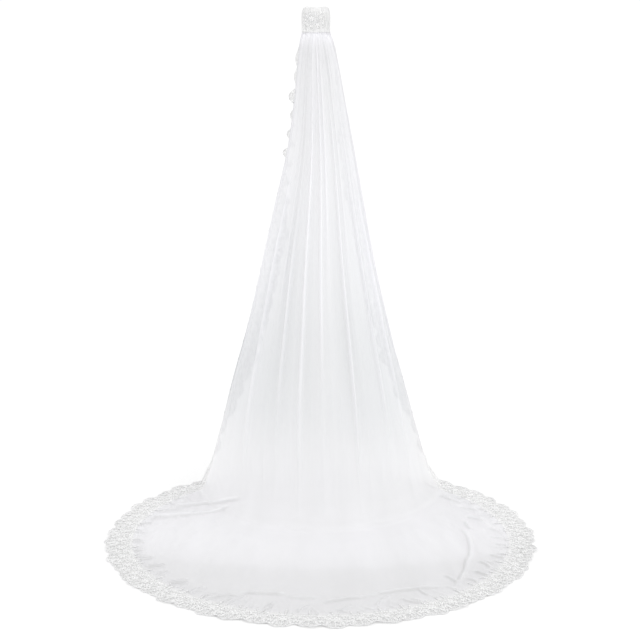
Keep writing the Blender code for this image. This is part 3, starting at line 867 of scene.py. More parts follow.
def train_rows(places, swells):
    """Rows on the floor from the foot of the fall to the tulle's round edge."""
    radius = tulle_radius()
    bearing = np.radians(places * TRAIN_END_BEARING)
    edge = TRAIN_CENTRE + radius * np.stack((np.sin(bearing), -np.cos(bearing)), axis=1)
    foot = horseshoe(FOOT, places, 0 * places)
    rows = []
    for way, swell in TRAIN_ROWS:
        spoke = foot + way * (edge - foot) - TRAIN_CENTRE
        reach = np.linalg.norm(spoke, axis=1, keepdims=True)
        to_edge = (np.abs(places) ** EDGE_HOLD)[:, None]
        row = TRAIN_CENTRE + spoke * (1 + to_edge * (radius / reach - 1))
        rows.append(np.column_stack((row, FLOOR + TRAIN_LIFT + swell * swells)))
    return rows


def coarse_surface(places, waves, swells, tops, feet):
    """The panel's rings down the fall and then its rows over the train."""
    rings = []
    for section in SECTIONS:
        uneven = swing(*FOLD_UNEVEN, 7.0 * places + 3.7 * section.drop + 0.6)
        standing = fold_share(section.drop, tops, feet)
        ring = horseshoe(section, places, waves * uneven * standing)
        slim = 1 - np.interp(section.drop, SLIM_DROPS, SLIM_SHARES)
        ring[:, 0] = np.where(ring[:, 0] < 0, ring[:, 0] * slim, ring[:, 0])
        rings.append(np.column_stack((ring, np.full(len(places), -section.drop))))
    return np.array(rings + train_rows(places, swells))


def ridge(phase):
    """Narrow ridges one apart, each of its own height."""
    height = swing(0, 1, 2.4 * np.round(phase) + 0.7) ** 1.5
    return (1 - np.abs(np.sin(np.pi * phase))) ** 2 * height


def gather(surface, places):
    """Presses the fine gathers into the fall, deepest near the comb."""
    drop = -surface[..., 2]
    depth = np.interp(drop, GATHER_DROPS, GATHER_DEPTHS)
    depth = depth * (1 - np.abs(places) ** GATHER_HOLD)
    height = np.zeros(drop.shape)
    for fine in GATHERS:
        wander = GATHER_WANDER * np.sin(3.1 * drop + 5.0 * places)
        phase = fine.count * (places + 1) / 2 + fine.drift * drop + wander
        height += GATHER_GAIN * fine.share * ridge(phase)
    depth = depth * (height - GATHER_MEAN)
    return surface + grid_normals(surface) * depth[..., None], height


def crease_heights(x, y):
    """Height of the creases over the cloth, and the painted shade beside them, where the net also
    covers more.
    """
    height = np.zeros(x.shape)
    tuck = np.zeros(x.shape)
    for c in CREASES:
        ahead = np.array((c.x1 - c.x0, c.y1 - c.y0))
        length = np.linalg.norm(ahead)
        ahead /= length
        way = ((x - c.x0) * ahead[0] + (y - c.y0) * ahead[1]) / length
        across = (y - c.y0) * ahead[0] - (x - c.x0) * ahead[1]
        across = across - c.bow * np.sin(np.pi * np.clip(way, 0, 1))
        taper = eased(ramp(np.minimum(way, 1 - way), 0, CREASE_TAPER))
        height += c.height * taper * bell(across, 0, c.width)
        side = 1 if ahead[1] > CREASE_SLOPE * abs(ahead[0]) else -1
        tuck += taper * bell(across, side * SHADE_OFFSET * c.width, SHADE_WIDTH * c.width)
    return height, tuck


def ripple_heights(x, y):
    """Height of the ripples, the painted shade beside them, and the way to the edge."""
    aside, behind = x - TRAIN_CENTRE[0], TRAIN_CENTRE[1] - y
    inwards = tulle_radius() - np.hypot(aside, behind)
    bearing = np.arctan2(aside, behind)
    lean = RIPPLE_SWAY * np.sin(9 * bearing)
    lean += RIPPLE_LEAN * np.cos(bearing) * np.sin(2.6 * bearing + 0.9)
    phase = RIPPLES * bearing / (2 * np.pi) + lean * inwards
    share = ramp(inwards, 0, swing(*RIPPLE_REACH, 3.7 * np.round(phase)))
    strip = np.sin(np.pi * share) * (share < 1)
    return RIPPLE_HEIGHT * ridge(phase) * strip, RIPPLE_SHADE * ridge(phase + 0.25) * strip, inwards


Drape = namedtuple("Drape", "surface places above folded crest tuck")


def draped_tulle():
    """The whole panel as it hangs and lies, where it stands out with painted highlight, and where
    its tucks have painted shade.
    """
    stations = fold_stations(STEPS_PER_HALF_FOLD, CREST_SHARPNESS)
    places, waves, swells, crests, tops, feet = stations
    waves = np.where(waves < 0, waves * sizes().trough, waves)
    coarse = coarse_surface(places, waves, swells * SWELL_SHARE, tops, feet)
    surface, gathers = gather(smooth_rows(coarse, ROWS_BETWEEN), places)
    above = surface[..., 2] - FLOOR
    rolled_out = (surface[..., 0], surface[..., 1] + above)
    height, tuck = crease_heights(*rolled_out)
    ripples, ripple_shade, inwards = ripple_heights(*rolled_out)
    near_floor = 1 - ramp(above, *CREASE_REACH)
    fade = ramp(inwards, 0, EDGE_FADE) * near_floor
    height = (height + ripples) * fade
    tuck = (tuck + ripple_shade).clip(0, 1) * fade
    surface = surface + grid_normals(surface) * height[..., None]
    surface[..., 2] = np.maximum(surface[..., 2], FLOOR + LEAST_LIFT)
    drop = -surface[..., 2]
    folded = ramp(above, *FOLDED_HEIGHTS)
    # crest is the painted highlight on fold crests, fine gathers and creases, and it also covers
    # more.
    crest = crests * fold_share(drop, tops, feet) * folded * FOLD_CREST
    fine = (gathers - FINE_CREST).clip(0, 1) * np.interp(drop, GATHER_DROPS, GATHER_TONES)
    crest = (crest + fine + height / FULL_CREASE * CREASE_LIGHT).clip(0, 1)
    return Drape(surface, places, above, folded, crest, tuck)


def flat_cut(surface):
    """Each point's place on the flat cloth, and how many times over its row is gathered."""
    across = along(surface, 1)
    gathered = np.maximum(1.0, sizes().cut_width / across[:, -1:])
    across = (across - across[:, -1:] / 2) * gathered
    down = along(surface).mean(axis=1, keepdims=True) + 0 * across
    return np.stack((across, down, 0 * down), axis=2), gathered


def net_tone(drape, down):
    """Painted light and shade: how light the net reads, from the lengths down the cloth."""
    places, above = drape.places, drape.above
    aside = drape.surface[..., 0] - TRAIN_CENTRE[0]
    behind = drape.surface[..., 1] - TONE_BOW * aside**2
    standing = ramp(above, *STANDING_HEIGHTS)
    tone = standing * np.interp(above, *HEIGHT_TONES)
    tone += (1 - standing) * np.interp(behind, *TRAIN_TONES)
    foot = down[sum(ROWS_BETWEEN[: len(SECTIONS)])]
    tone -= FOOT_TONE * bell(down, foot - FOOT_LINE, FOOT_SPREAD)
    tone -= LEAN_TONE * places * (1 - drape.folded) * standing
    beside = ramp(np.abs(places), *EDGE_PLACES)
    tone += EDGE_TONE * beside * bell(above, EDGE_HEIGHT, EDGE_SPREAD)
    panels = np.sin(9.7 * places + 1.1 + 0.5 * above) + 0.6 * np.sin(23.0 * places - 0.8 * above)
    tone += PANEL_TONE * panels * drape.folded
    return tone + CREST_TONE * drape.crest - CREASE_SHADE * drape.tuck


class VEIL_OT_tulle(bpy.types.Operator):
    """Hang the tulle from the comb and spread its train on the floor"""

    bl_idname = "veil.tulle"
    bl_label = "Tulle panel"

    def execute(self, context):
        drape = draped_tulle()
        cloth, gathered = flat_cut(drape.surface)
        cover = 1 - (1 - looks().cover) ** (1 + GATHERED_COVER * (gathered - 1))
        pressed = (CREST_COVER * drape.crest + TUCK_COVER * drape.tuck).clip(0, 1)
        # cool tints the painted shade, less in the middle.
        middle_out = np.minimum(1, np.abs(drape.places) / COOL_PLACE)
        cool = np.interp(drape.above, *HEIGHT_COOLS)
        piece = add_piece(
            "tulle_panel",
            drape.surface,
            grid_faces(*drape.surface.shape[:2]),
            tulle_material("tulle", looks().tulle, sizes().net_cell),
            cloth=cloth,
            tone=net_tone(drape, cloth[..., 1]),
            cover=cover + pressed * (1 - cover),
            cool=cool * (COOL_MIDDLE + (1 - COOL_MIDDLE) * middle_out),
        )
        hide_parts("tulle_fall", "tulle_train")
        return {"FINISHED"}


# ---------------------------------------------------------------- the heading
def heading_size(height):
    heights, widths, depths = np.array(HEADING_SECTIONS).T
    return np.interp(height, heights, widths), np.interp(height, heights, depths)


def heading_loop(frill):
    """One round of the gathered cloth: upright pleats on the heading's rounded shape."""
    _, inset, pleats, depth, lower, lap = frill
    turn = np.linspace(0, 2 * np.pi, pleats * PLEAT_STEPS + 1)
    number = np.round(pleats * turn / (2 * np.pi)) % pleats
    sine, cosine = np.sin(turn), np.cos(turn)
    across, deep = HEADING_ROUNDS
    rows = []
    for share in 1 - np.linspace(0, 1, HEADING_ROWS) ** HEADING_CROWD:
        height = HEADING_SECTIONS[-1].height * share
        half_width, half_depth = heading_size(height)
        uneven = swing(*PLEAT_UNEVEN, 2.1 * number + 1.3 + 2.5 * share)
        pressed = depth * uneven * (0.5 - 0.5 * np.cos(pleats * turn + 0.5 * np.sin(5 * share)))
        x = (half_width - inset) * np.sign(sine) * np.abs(sine) ** across
        y = max(half_depth - inset, HEADING_THIN) * np.sign(cosine) * np.abs(cosine) ** deep
        narrow = 1 - pressed / np.maximum(half_depth, HEADING_NARROW)
        ragged = RAGGED_TOP * share**6 * swing(0, 1, 3.3 * number + 0.5) + lower * share
        x = x - pressed * sine
        rows.append(np.column_stack((x, -HEADING_BACK - y * narrow, height - ragged)))
    foot = rows[-1]
    wider, deeper = LAP_SPREAD
    for share in (1 / 3, 2 / 3, 1.0) if lap else ():
        y = -HEADING_BACK + (foot[:, 1] + HEADING_BACK) * (1 + deeper * share)
        rows.append(np.column_stack((foot[:, 0] * (1 + wider * share), y, 0 * y - lap * share)))
    return np.array(rows), turn, number


class VEIL_OT_heading(bpy.types.Operator):
    """Gather the tulle's upper edge into the pleated heading over the comb"""

    bl_idname = "veil.heading"
    bl_label = "Gathered heading"

    def execute(self, context):
        material = tulle_material("tulle_heading_net", looks().net, sizes().net_cell)
        for kind in FRILLS:
            points, turn, number = heading_loop(kind)
            across = along(points, 1)
            # Painted highlight on each pleat's crest, painted shade in its valleys.
            crest = swing(0, 1, 2.7 * number) * (0.5 + 0.5 * np.cos(turn * kind.pleats)) ** 3
            low, high = HEADING_TONES
            frill = add_piece(
                kind.name,
                points,
                grid_faces(*across.shape),
                material,
                cloth=np.stack((across, -points[..., 2], 0 * across), axis=2),
                tone=low + (high - low) * crest + 0 * across,
                cover=1 - (1 - looks().cover) ** HEADING_LAYERS,
            )
        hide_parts("tulle_heading")
        return {"FINISHED"}


# ---------------------------------------------------------------- the lace edging
Strip = namedtuple("Strip", "base outward normal width repeats length")


def coarse_edge():
    """The tulle's cut edge from comb to comb as the solids have it, with its directions."""
    places, waves, swells, _, tops, feet = fold_stations(2, 1.0)
    grid = coarse_surface(places, waves, swells, tops, feet)
    normal = grid_normals(grid)
    path, up = (np.concatenate((g[:, 0], g[-1, 1:-1], g[::-1, -1])) for g in (grid, normal))
    return path, up, along(path)


def on_curve(values, distance, stations):
    """Values between the points of a line, on a smooth curve through them."""
    slopes = np.gradient(values, distance, axis=0)
    i = np.clip(np.searchsorted(distance, stations, side="right") - 1, 0, len(distance) - 2)
    step = (distance[i + 1] - distance[i])[:, None]
    s = (stations - distance[i])[:, None] / step
    return hermite(s, step, values[i], values[i + 1], slopes[i], slopes[i + 1])


def lace_strips():
    """The three stretches of lace, each with its line, directions and width at stations."""
    path, up, distance = coarse_edge()
    turn = len(SECTIONS)
    start = float(np.interp(LACE_START, -path[:turn, 2], distance[:turn]))
    left, right = distance[turn], distance[len(path) - 1 - turn]
    stretches = (
        ("left", start, left, LEFT_FLARE),
        ("train", left, right, NO_FLARE),
        ("right", right, distance[-1] - start, RIGHT_FLARE),
    )
    strips = {}
    for name, first, last, flare in stretches:
        repeats = round((last - first) / LACE_REPEAT)
        stations = np.linspace(first, last, STATIONS * repeats + 1)
        base = on_curve(path, distance, stations)
        normal = unit(on_curve(up, distance, stations))
        outward = unit(np.cross(np.gradient(base, axis=0), normal))
        drop = -base[:, 2]
        phase = np.arange(len(base)) / STATIONS
        curl = swing(*CURL_UNEVEN, 2.3 * np.floor(phase) + 3.4)
        curl = NOTCH_CURL + curl * np.abs(np.sin(np.pi * phase))
        angle = np.radians(np.interp(drop, FLARE_DROPS, flare) * curl)[:, None]
        outward, normal = (
            outward * np.cos(angle) + normal * np.sin(angle),
            normal * np.cos(angle) - outward * np.sin(angle),
        )
        width = np.interp(drop, WIDTH_DROPS, (*START_WIDTHS, sizes().lace_width))
        strips[name] = Strip(base, outward, normal, width, repeats, last - first)
    return strips


def scallop(phase):
    """How far the outer edge falls short of the tips, over one large scallop."""
    large = 1 - np.abs(np.sin(np.pi * phase)) ** NOTCH_SHAPE
    small = 1 - np.abs(np.sin(2 * np.pi * phase)) ** NOTCH_SHAPE
    return LARGE_NOTCH * large + SMALL_NOTCH * small * (1 - large)


def laid(strip, repeat, out, height):
    """Points on a strip: along it in repeats, out from the seam and height in metres."""
    repeat = np.clip(np.asarray(repeat, float), 0, strip.repeats)
    at = repeat * STATIONS
    index = np.arange(len(strip.base))

    def between(values):
        return np.stack([np.interp(at, index, values[:, i]) for i in range(3)], axis=-1)

    inside = ramp(np.minimum(repeat, strip.repeats - repeat), 0, 1)
    slow, quick = LACE_UNEVEN
    wander = slow * np.sin(2.7 * repeat + 0.8 * np.sin(1.3 * repeat))
    wander += quick * np.sin(5.9 * repeat)
    flute = FLUTE_HEIGHT * inside * swing(0, 1, 2.2 * repeat + 1.1 * np.sin(0.9 * repeat))
    height = height + flute * ramp(out, 0, sizes().lace_width) ** 2
    scale = np.interp(at, index, strip.width) / sizes().lace_width * (1 + wander * inside)
    lift = height * np.clip(scale * LIFT_GAIN, LEAST_RELIEF, 1)
    point = between(strip.base) + unit(between(strip.outward)) * (out * scale)[..., None]
    point = point + unit(between(strip.normal)) * lift[..., None]
    over_floor = FLOOR + LACE_LIFT + np.maximum(height, 0) * FLOOR_RELIEF
    point[..., 2] = np.maximum(point[..., 2], over_floor)
    return point


def net_of(strip):
    """The net ground of a strip, with its scalloped edge and eyelets."""
    columns = STATIONS * strip.repeats + 1
    repeat = np.arange(columns) / STATIONS
    phase = np.arange(columns) % STATIONS
    tip = sizes().lace_width - scallop(repeat)
    rows = [np.full(columns, -OVERLAP)]
    for k, share in enumerate(NET_SHARES):
        out = LACE_SEAM + share * (tip - LACE_SEAM)
        if abs(k - EYELET_ROW) == 1:
            for column in EYELET_COLUMNS:
                pulled = np.abs(phase - column) == 1
                out = out + (EYELET_ROW - k) * EYELET_PULL * pulled
        rows.append(out)
    out = np.array(rows)
    points = laid(strip, repeat, out, np.full(out.shape, NET_HEIGHT))
    keep = np.ones((len(out) - 1, columns - 1), bool)
    for column in EYELET_COLUMNS:
        holes = (phase[:-1] == column - 1) | (phase[:-1] == column)
        keep[EYELET_ROW : EYELET_ROW + 2, holes] = False
    faces = grid_faces(len(out), columns, keep)
    cloth = np.stack((repeat * LACE_REPEAT + 0 * out, out, 0 * out), axis=2)
    return compact(points.reshape(-1, 3), faces, cloth.reshape(-1, 3))


def modelled(operation, **settings):
    """A primitive's points and faces, from a mesh operator on an empty selection."""
    bpy.ops.object.select_all(action="DESELECT")
    operation(**settings)
    made = bpy.context.active_object
    bpy.ops.object.mode_set(mode="EDIT")
    bpy.ops.mesh.select_all(action="SELECT")
    bpy.ops.mesh.quads_convert_to_tris()
    bpy.ops.object.mode_set(mode="OBJECT")
    points = np.array([v.co for v in made.data.vertices])
    faces = np.array([tuple(p.vertices) for p in made.data.polygons])
    mesh = made.data
    bpy.data.objects.remove(made)
    bpy.data.meshes.remove(mesh)
    return points, faces


def petal_shape(rings, waist, point):
    """A raised petal one long, from a ball: waist narrows its root, point sharpens both ends."""
    ball, faces = modelled(bpy.ops.mesh.primitive_uv_sphere_add, segments=8, ring_count=rings)
    way = (ball[:, 2] + 1) / 2
    narrow = (1 - waist * (1 - way)) * (1 - point * np.abs(2 * way - 1) ** 3)
    across = ball[:, 0] / 2 * narrow
    high = np.where(ball[:, 1] > 0, ball[:, 1], ball[:, 1] * PETAL_UNDERSIDE)
    groove = 1 - PETAL_GROOVE * bell(across, 0, PETAL_GROOVE_WIDTH)
    return np.stack((across, way, high * groove), axis=1), faces


def tube_faces(rings, sides):
    """Triangles between the rings of a tube.

    They point outwards where a ring turns anticlockwise about the way ahead.
    """
    i, j = np.meshgrid(np.arange(rings - 1), np.arange(sides), indexing="ij")
    a = (i * sides + j).ravel()
    b = (i * sides + (j + 1) % sides).ravel()
    return np.concatenate(
        (np.stack((a, b, b + sides), 1), np.stack((a, b + sides, a + sides), 1))
    )


def ring_points(centre, first, second, radius, sides):
    """Rings round a line, from the direction first towards second."""
    turn = np.linspace(0, 2 * np.pi, sides, endpoint=False)[:, None]
    ring = first[:, None] * np.cos(turn) + second[:, None] * np.sin(turn)
    return (centre[:, None] + ring * radius).reshape(-1, 3)


Cord = namedtuple("Cord", "radius height sides")
RIM_CORD = Cord(0.0013, 0.0012, 5)
VINE_CORD = Cord(0.0009, 0.0010, 4)
FINE_CORD = Cord(0.0008, 0.0010, 4)


class Embroidery:
    """Raised work, gathered part by part and then made one mesh."""

    def __init__(self):
        self.points = []
        self.faces = []
        self.stitches = []
        self.count = 0

    def add(self, points, faces, stitch):
        self.points.append(points)
        self.faces.append(faces + self.count)
        self.stitches.append(stitch)
        self.count += len(points)

    def cord(self, strip, repeat, out, kind):
        """A laid cord along a line on the strip."""
        height = np.full(len(repeat), kind.height)
        centre = laid(strip, repeat, out, height)
        lifted = laid(strip, repeat, out, height + CORD_UP)
        up = unit(lifted - centre + 1e-9)
        ahead = unit(np.gradient(centre, axis=0))
        side = unit(np.cross(ahead, up))
        up = np.cross(side, ahead)
        sides = kind.sides
        points = ring_points(centre, up, side, kind.radius, sides)
        last = len(points) - sides
        caps = [(0, k + 1, k) for k in range(1, sides - 1)]
        caps += [(last, last + k, last + k + 1) for k in range(1, sides - 1)]
        faces = np.concatenate((tube_faces(len(centre), sides), np.array(caps)))
        self.add(points, faces, np.repeat(along(centre), sides))

    def loop(self, centre, radius, sides, stitch):
        """A closed ring of thread along a loop of points, the last at the first."""
        ahead = np.gradient(centre, axis=0)
        ahead[0] = ahead[-1] = centre[1] - centre[-2]
        ahead = unit(ahead)
        side = unit(np.cross(ahead, (1.0, 0.0, 0.0)))
        points = ring_points(centre, side, np.cross(side, ahead), radius, sides)
        faces = tube_faces(len(centre), sides)[:, ::-1]
        self.add(points, faces, np.repeat(stitch, sides))

    def made(self, name, material, light=None):
        """The finished piece. light gives how much lighter its points read, which on the lace is
        painted light.
        """
        points = np.concatenate(self.points)
        stitch = np.zeros((len(points), 3))
        stitch[:, 0] = np.concatenate(self.stitches)
        values = {"stitch": stitch}
        if light:
            values["light"] = light(points)
        return add_piece(name, points, np.concatenate(self.faces), material, **values)


# A part of the lace: its kind, place from the scallop's middle and from the seam, length,
# width and height in millimetres, and the direction it points in, in degrees from outwards.
Motif = namedtuple("Motif", "kind across out length width height turn")


def flower(across, out, petals, length, width, height, turn=0.0):
    turns = [turn + 360 * k / petals for k in range(petals)]
    rows = [Motif("petal", across, out, length, width, height, each) for each in turns]
    seed = length * SEED_SHARE
    return rows + [Motif("seed", across, out, seed, seed, height * SEED_HEIGHT, 0.0)]


def mirrored(rows):
    return [r._replace(across=-r.across, turn=-r.turn) for r in rows]


def scallop_motifs():
    """Flowers, leaves and seeds of one repeat."""
    middle = flower(0, 37, 6, 15.0, 10.0, 2.0) + flower(0, 37, 6, 7.5, 5.4, 2.8, 30)
    middle += flower(35, 49, 5, 11.5, 8.6, 1.8, 180)
    middle.append(Motif("leaf", 0, 54, 23, 7.0, 1.6, 0))
    middle.append(Motif("leaf", 35, 26, 12, 5.4, 1.5, 180))
    middle.append(Motif("leaf", 0, 12, 13, 5.0, 1.4, 180))
    side = [
        Motif("leaf", 19, 51, 25, 8.4, 1.7, 14),
        Motif("leaf", 15, 47, 13, 5.6, 1.5, 52),
        Motif("leaf", 25, 33, 12, 5.6, 1.5, 112),
        Motif("leaf", 20, 25, 13, 5.6, 1.5, 55),
        Motif("leaf", 9, 15, 11, 5.0, 1.4, -35),
        Motif("leaf", 13, 12, 12, 5.0, 1.4, 140),
        Motif("leaf", 24, 17, 12, 5.0, 1.4, 30),
        Motif("leaf", 30, 18, 10, 4.6, 1.3, 155),
        Motif("leaf", 31, 64, 12, 5.0, 1.4, -8),
        Motif("leaf", 7, 60, 12, 4.6, 1.4, 20),
        Motif("seed", 27, 43, 3.4, 3.4, 1.3, 0),
        Motif("seed", 16, 33, 3.2, 3.2, 1.3, 0),
        Motif("seed", 5, 22, 2.8, 2.8, 1.2, 0),
        Motif("seed", 33, 36, 3.0, 3.0, 1.2, 0),
        Motif("seed", 22, 8, 2.8, 2.8, 1.2, 0),
        Motif("seed", 8, 7, 2.8, 2.8, 1.2, 0),
    ]
    return middle + side + mirrored(side)


# Sprigs that reach in over the tulle, one kind after the other round the veil.
SPRIGS = (
    (
        Motif("leaf", 0, 2, 15, 5.0, 1.3, 176),
        Motif("leaf", -2, -8, 10, 4.2, 1.2, 140),
        Motif("leaf", 2, -6, 11, 4.2, 1.2, 218),
        Motif("leaf", 0, -14, 13, 4.4, 1.2, 186),
        Motif("leaf", 20, 3, 12, 4.6, 1.2, 160),
        Motif("seed", -18, -4, 3.0, 3.0, 1.1, 0),
        Motif("seed", 3, -31, 2.6, 2.6, 1.0, 0),
    ),
    (
        Motif("leaf", 6, 3, 13, 4.8, 1.3, 200),
        Motif("leaf", 2, -9, 10, 4.2, 1.2, 165),
        Motif("leaf", -17, 2, 16, 5.0, 1.3, 188),
        Motif("leaf", -20, -8, 9, 4.0, 1.2, 150),
        Motif("seed", 22, -6, 3.0, 3.0, 1.1, 0),
        Motif("seed", -21, -18, 2.6, 2.6, 1.0, 0),
    ),
    (
        Motif("leaf", -4, 3, 17, 5.0, 1.3, 172),
        Motif("leaf", -6, -11, 10, 4.2, 1.2, 215),
        Motif("leaf", 17, 3, 11, 4.4, 1.2, 195),
        Motif("leaf", 15, -8, 8, 4.0, 1.1, 160),
        Motif("seed", -4, -19, 3.0, 3.0, 1.1, 0),
        Motif("seed", 30, -5, 2.6, 2.6, 1.0, 0),
    ),
)


def turned(x, y, degrees):
    """X and Y turned from +Y towards +X."""
    turn = math.radians(degrees)
    return x * math.cos(turn) + y * math.sin(turn), y * math.cos(turn) - x * math.sin(turn)


def motif_points(motif, shape):
    """A motif's points in metres: across and out on the lace, and its height."""
    across, out = turned(shape[:, 0] * motif.width, shape[:, 1] * motif.length, motif.turn)
    height = MOTIF_LIFT + shape[:, 2] * motif.height * MILLIMETRE
    return (motif.across + across) * MILLIMETRE, (motif.out + out) * MILLIMETRE, height


def sew_sprigs(strip, work, shapes, tulle):
    """Leaves and seeds beyond the lace's inner edge, seated on the tulle itself."""
    for i in range(1, strip.repeats - 1):
        for motif in SPRIGS[(2 * i + i // 4) % len(SPRIGS)]:
            shape, faces = shapes[motif.kind]
            across, out, high = motif_points(motif, shape)
            repeat = i + 0.5 + across / LACE_REPEAT
            flat = laid(strip, repeat, out, 0 * high)
            lift = laid(strip, repeat, out, high + SPRIG_LIFT) - flat
            seats = np.array([tulle.find_nearest(Vector(point))[0] for point in flat])
            work.add(seats + lift, faces, shape[:, 1] * motif.length * MILLIMETRE)


def lay_motifs(strip, work, shapes, starts):
    """The repeat's flowers, leaves and seeds on every scallop."""
    for motif in scallop_motifs():
        shape, faces = shapes[motif.kind]
        across, out, high = motif_points(motif, shape)
        for start in starts:
            repeat = start + across / LACE_REPEAT
            if repeat.min() < 0 or repeat.max() > strip.repeats:
                continue
            points = laid(strip, repeat, out, high)
            work.add(points, faces, shape[:, 1] * motif.length * MILLIMETRE)


def lay_cords(strip, work, starts):
    """The cords that run the whole length, and each scallop's scrolls and rings."""
    fine = np.linspace(0, strip.repeats, strip.repeats * CORD_STEPS + 1)
    edge = sizes().lace_width
    work.cord(strip, fine, edge - RIM_INSET - scallop(fine), RIM_CORD)
    work.cord(strip, fine, edge - INNER_INSET - INNER_NOTCH * scallop(fine), FINE_CORD)
    work.cord(strip, fine, VINE_OUT + VINE_WAVE * np.cos(2 * np.pi * fine), VINE_CORD)
    turn = np.linspace(0, 2 * np.pi, RING_STEPS)
    curl = np.linspace(0, 1, SCROLL_STEPS)
    bend = SCROLL_START + curl * SCROLL_TURN
    size = SCROLL_SIZE * (1 - SCROLL_SHRINK * curl)
    for start in starts:
        for side in (-1, 1):
            across = side * (SCROLL_PLACE[0] - size * np.cos(bend) * SCROLL_SQUASH)
            out = SCROLL_PLACE[1] - size * np.sin(bend)
            work.cord(strip, start + across / LACE_REPEAT, out, FINE_CORD)
            across = side * RING_PLACE[0] + RING_SIZE[0] * np.sin(turn)
            out = RING_PLACE[1] + RING_SIZE[1] * np.cos(turn)
            work.cord(strip, start + across / LACE_REPEAT, out, VINE_CORD)


def lay_beads(strip, work, shape, faces):
    """A row of beads inside the rim of every scallop."""
    for k in range(strip.repeats * RIM_BEADS):
        repeat = (k + 0.5) / RIM_BEADS
        out = sizes().lace_width - BEAD_INSET - BEAD_NOTCH * float(scallop(np.array(repeat)))
        across = repeat + shape[:, 0] * BEAD_SIZE / LACE_REPEAT
        out = out + (shape[:, 1] - 0.5) * BEAD_SIZE
        points = laid(strip, across, out, MOTIF_LIFT + shape[:, 2] * BEAD_HEIGHT)
        work.add(points, faces, shape[:, 1] * BEAD_SIZE)


def painted_lace_light(points):
    """Painted light: how much lighter the lace reads at the back corners of the train and down the
    fronts.
    """
    back = ramp(points[:, 1], *CORNER_LIGHT_PLACES)
    side = np.where(points[:, 0] > 0, 1.0, CORNER_LEFT_SHARE)
    lying = points[:, 2] < FLOOR + LACE_LYING
    front = np.interp(-points[:, 2], FRONT_LIGHT_DROPS, (0.0, FRONT_LIGHT))
    return CORNER_LIGHT * back * side * lying + front * ~lying


class VEIL_OT_lace(bpy.types.Operator):
    """Sew the scalloped, embroidered lace along the tulle's edge"""

    bl_idname = "veil.lace"
    bl_label = "Lace edging"

    def execute(self, context):
        net = tulle_material("lace_net", looks().net, LACE_CELL)
        thread = thread_material()
        shapes = {
            "petal": petal_shape(4, PETAL_WAIST, 0.0),
            "leaf": petal_shape(4, 0.0, LEAF_POINT),
            "seed": petal_shape(3, 0.0, 0.0),
        }
        panel = bpy.data.objects["tulle_panel"].data
        corners = [tuple(p.vertices) for p in panel.polygons]
        tulle = BVHTree.FromPolygons([v.co for v in panel.vertices], corners)
        for name, strip in lace_strips().items():
            points, faces, cloth = net_of(strip)
            # The net's tone is painted shade towards its scallops, and painted light by place.
            tone = np.interp(cloth[:, 1] / sizes().lace_width, *LACE_TONES)
            ground = add_piece(
                f"{name}_lace_net",
                points,
                faces,
                net,
                cloth=cloth,
                tone=tone + painted_lace_light(points),
                cover=looks().lace_cover,
            )
            work = Embroidery()
            starts = np.arange(strip.repeats) + 0.5
            lay_motifs(strip, work, shapes, starts)
            lay_cords(strip, work, starts)
            lay_beads(strip, work, *shapes["seed"])
            sew_sprigs(strip, work, shapes, tulle)
            raised = work.made(f"{name}_lace_embroidery", thread, painted_lace_light)
            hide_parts(f"lace_{name}")
            repeat = np.arange(len(strip.width)) / STATIONS
            tip = strip.width * (1 - scallop(repeat) / sizes().lace_width)
            area = float((tip + OVERLAP).mean() * strip.length)
            sizes().lace_width + OVERLAP
            "laid" if name == "train" else "hung"
        return {"FINISHED"}


# ---------------------------------------------------------------- the motif on the heading
def on_heading(x, z, lift):
    """Points just proud of the heading's back."""
    half_width, half_depth = heading_size(z)
    across, deep = HEADING_ROUNDS
    sine = np.clip(np.abs(x) / half_width, 0, 1) ** (1 / across)
    full = half_depth * (1 - sine**2) ** (deep / 2)
    return np.stack((x, -HEADING_BACK - full - PROUD - lift, z), axis=-1)


def motif_outline(across):
    """Half the height of the lobed oval at a share of its half width."""
    oval = np.sqrt(np.maximum(OVAL_END, 1 - across**2))
    lobes = np.abs(np.sin(np.pi * MOTIF_LOBES * (across + 1) / 2)) ** LOBE_SHAPE
    return MOTIF_SIZE[1] * oval * (1 - LOBE_DEPTH + LOBE_DEPTH * lobes)


# Flowers and leaves of the motif: place in metres, sizes in millimetres, turn in degrees
# from upwards.
Bloom = namedtuple("Bloom", "x z petals length width turn")
BLOOMS = (
    Bloom(-0.015, 0.042, 7, 11.5, 7.0, 0),
    Bloom(0.016, 0.046, 6, 8.0, 5.4, 10),
    Bloom(0.005, 0.021, 5, 8.0, 6.0, 30),
    Bloom(-0.029, 0.022, 5, 6.0, 4.6, 0),
    Bloom(0.026, 0.027, 5, 5.5, 4.2, 20),
)
Spray = namedtuple("Spray", "x z length width turn")
SPRAYS = (
    Spray(-0.027, 0.049, 11, 4.8, -50),
    Spray(-0.022, 0.053, 9, 4.0, -15),
    Spray(-0.004, 0.052, 11, 4.8, 25),
    Spray(-0.001, 0.047, 11, 4.4, 60),
    Spray(0.003, 0.038, 10, 4.4, 100),
    Spray(0.022, 0.037, 10, 4.4, 140),
    Spray(0.024, 0.051, 9, 4.4, 75),
    Spray(-0.005, 0.028, 10, 4.4, 205),
    Spray(-0.010, 0.020, 8, 4.0, 230),
    Spray(0.013, 0.020, 11, 4.4, 110),
    Spray(0.014, 0.032, 9, 4.0, 35),
    Spray(-0.020, 0.021, 9, 4.2, 150),
    Spray(-0.034, 0.034, 9, 4.2, -15),
    Spray(-0.032, 0.029, 8, 4.0, -95),
    Spray(-0.008, 0.013, 9, 4.0, 60),
)


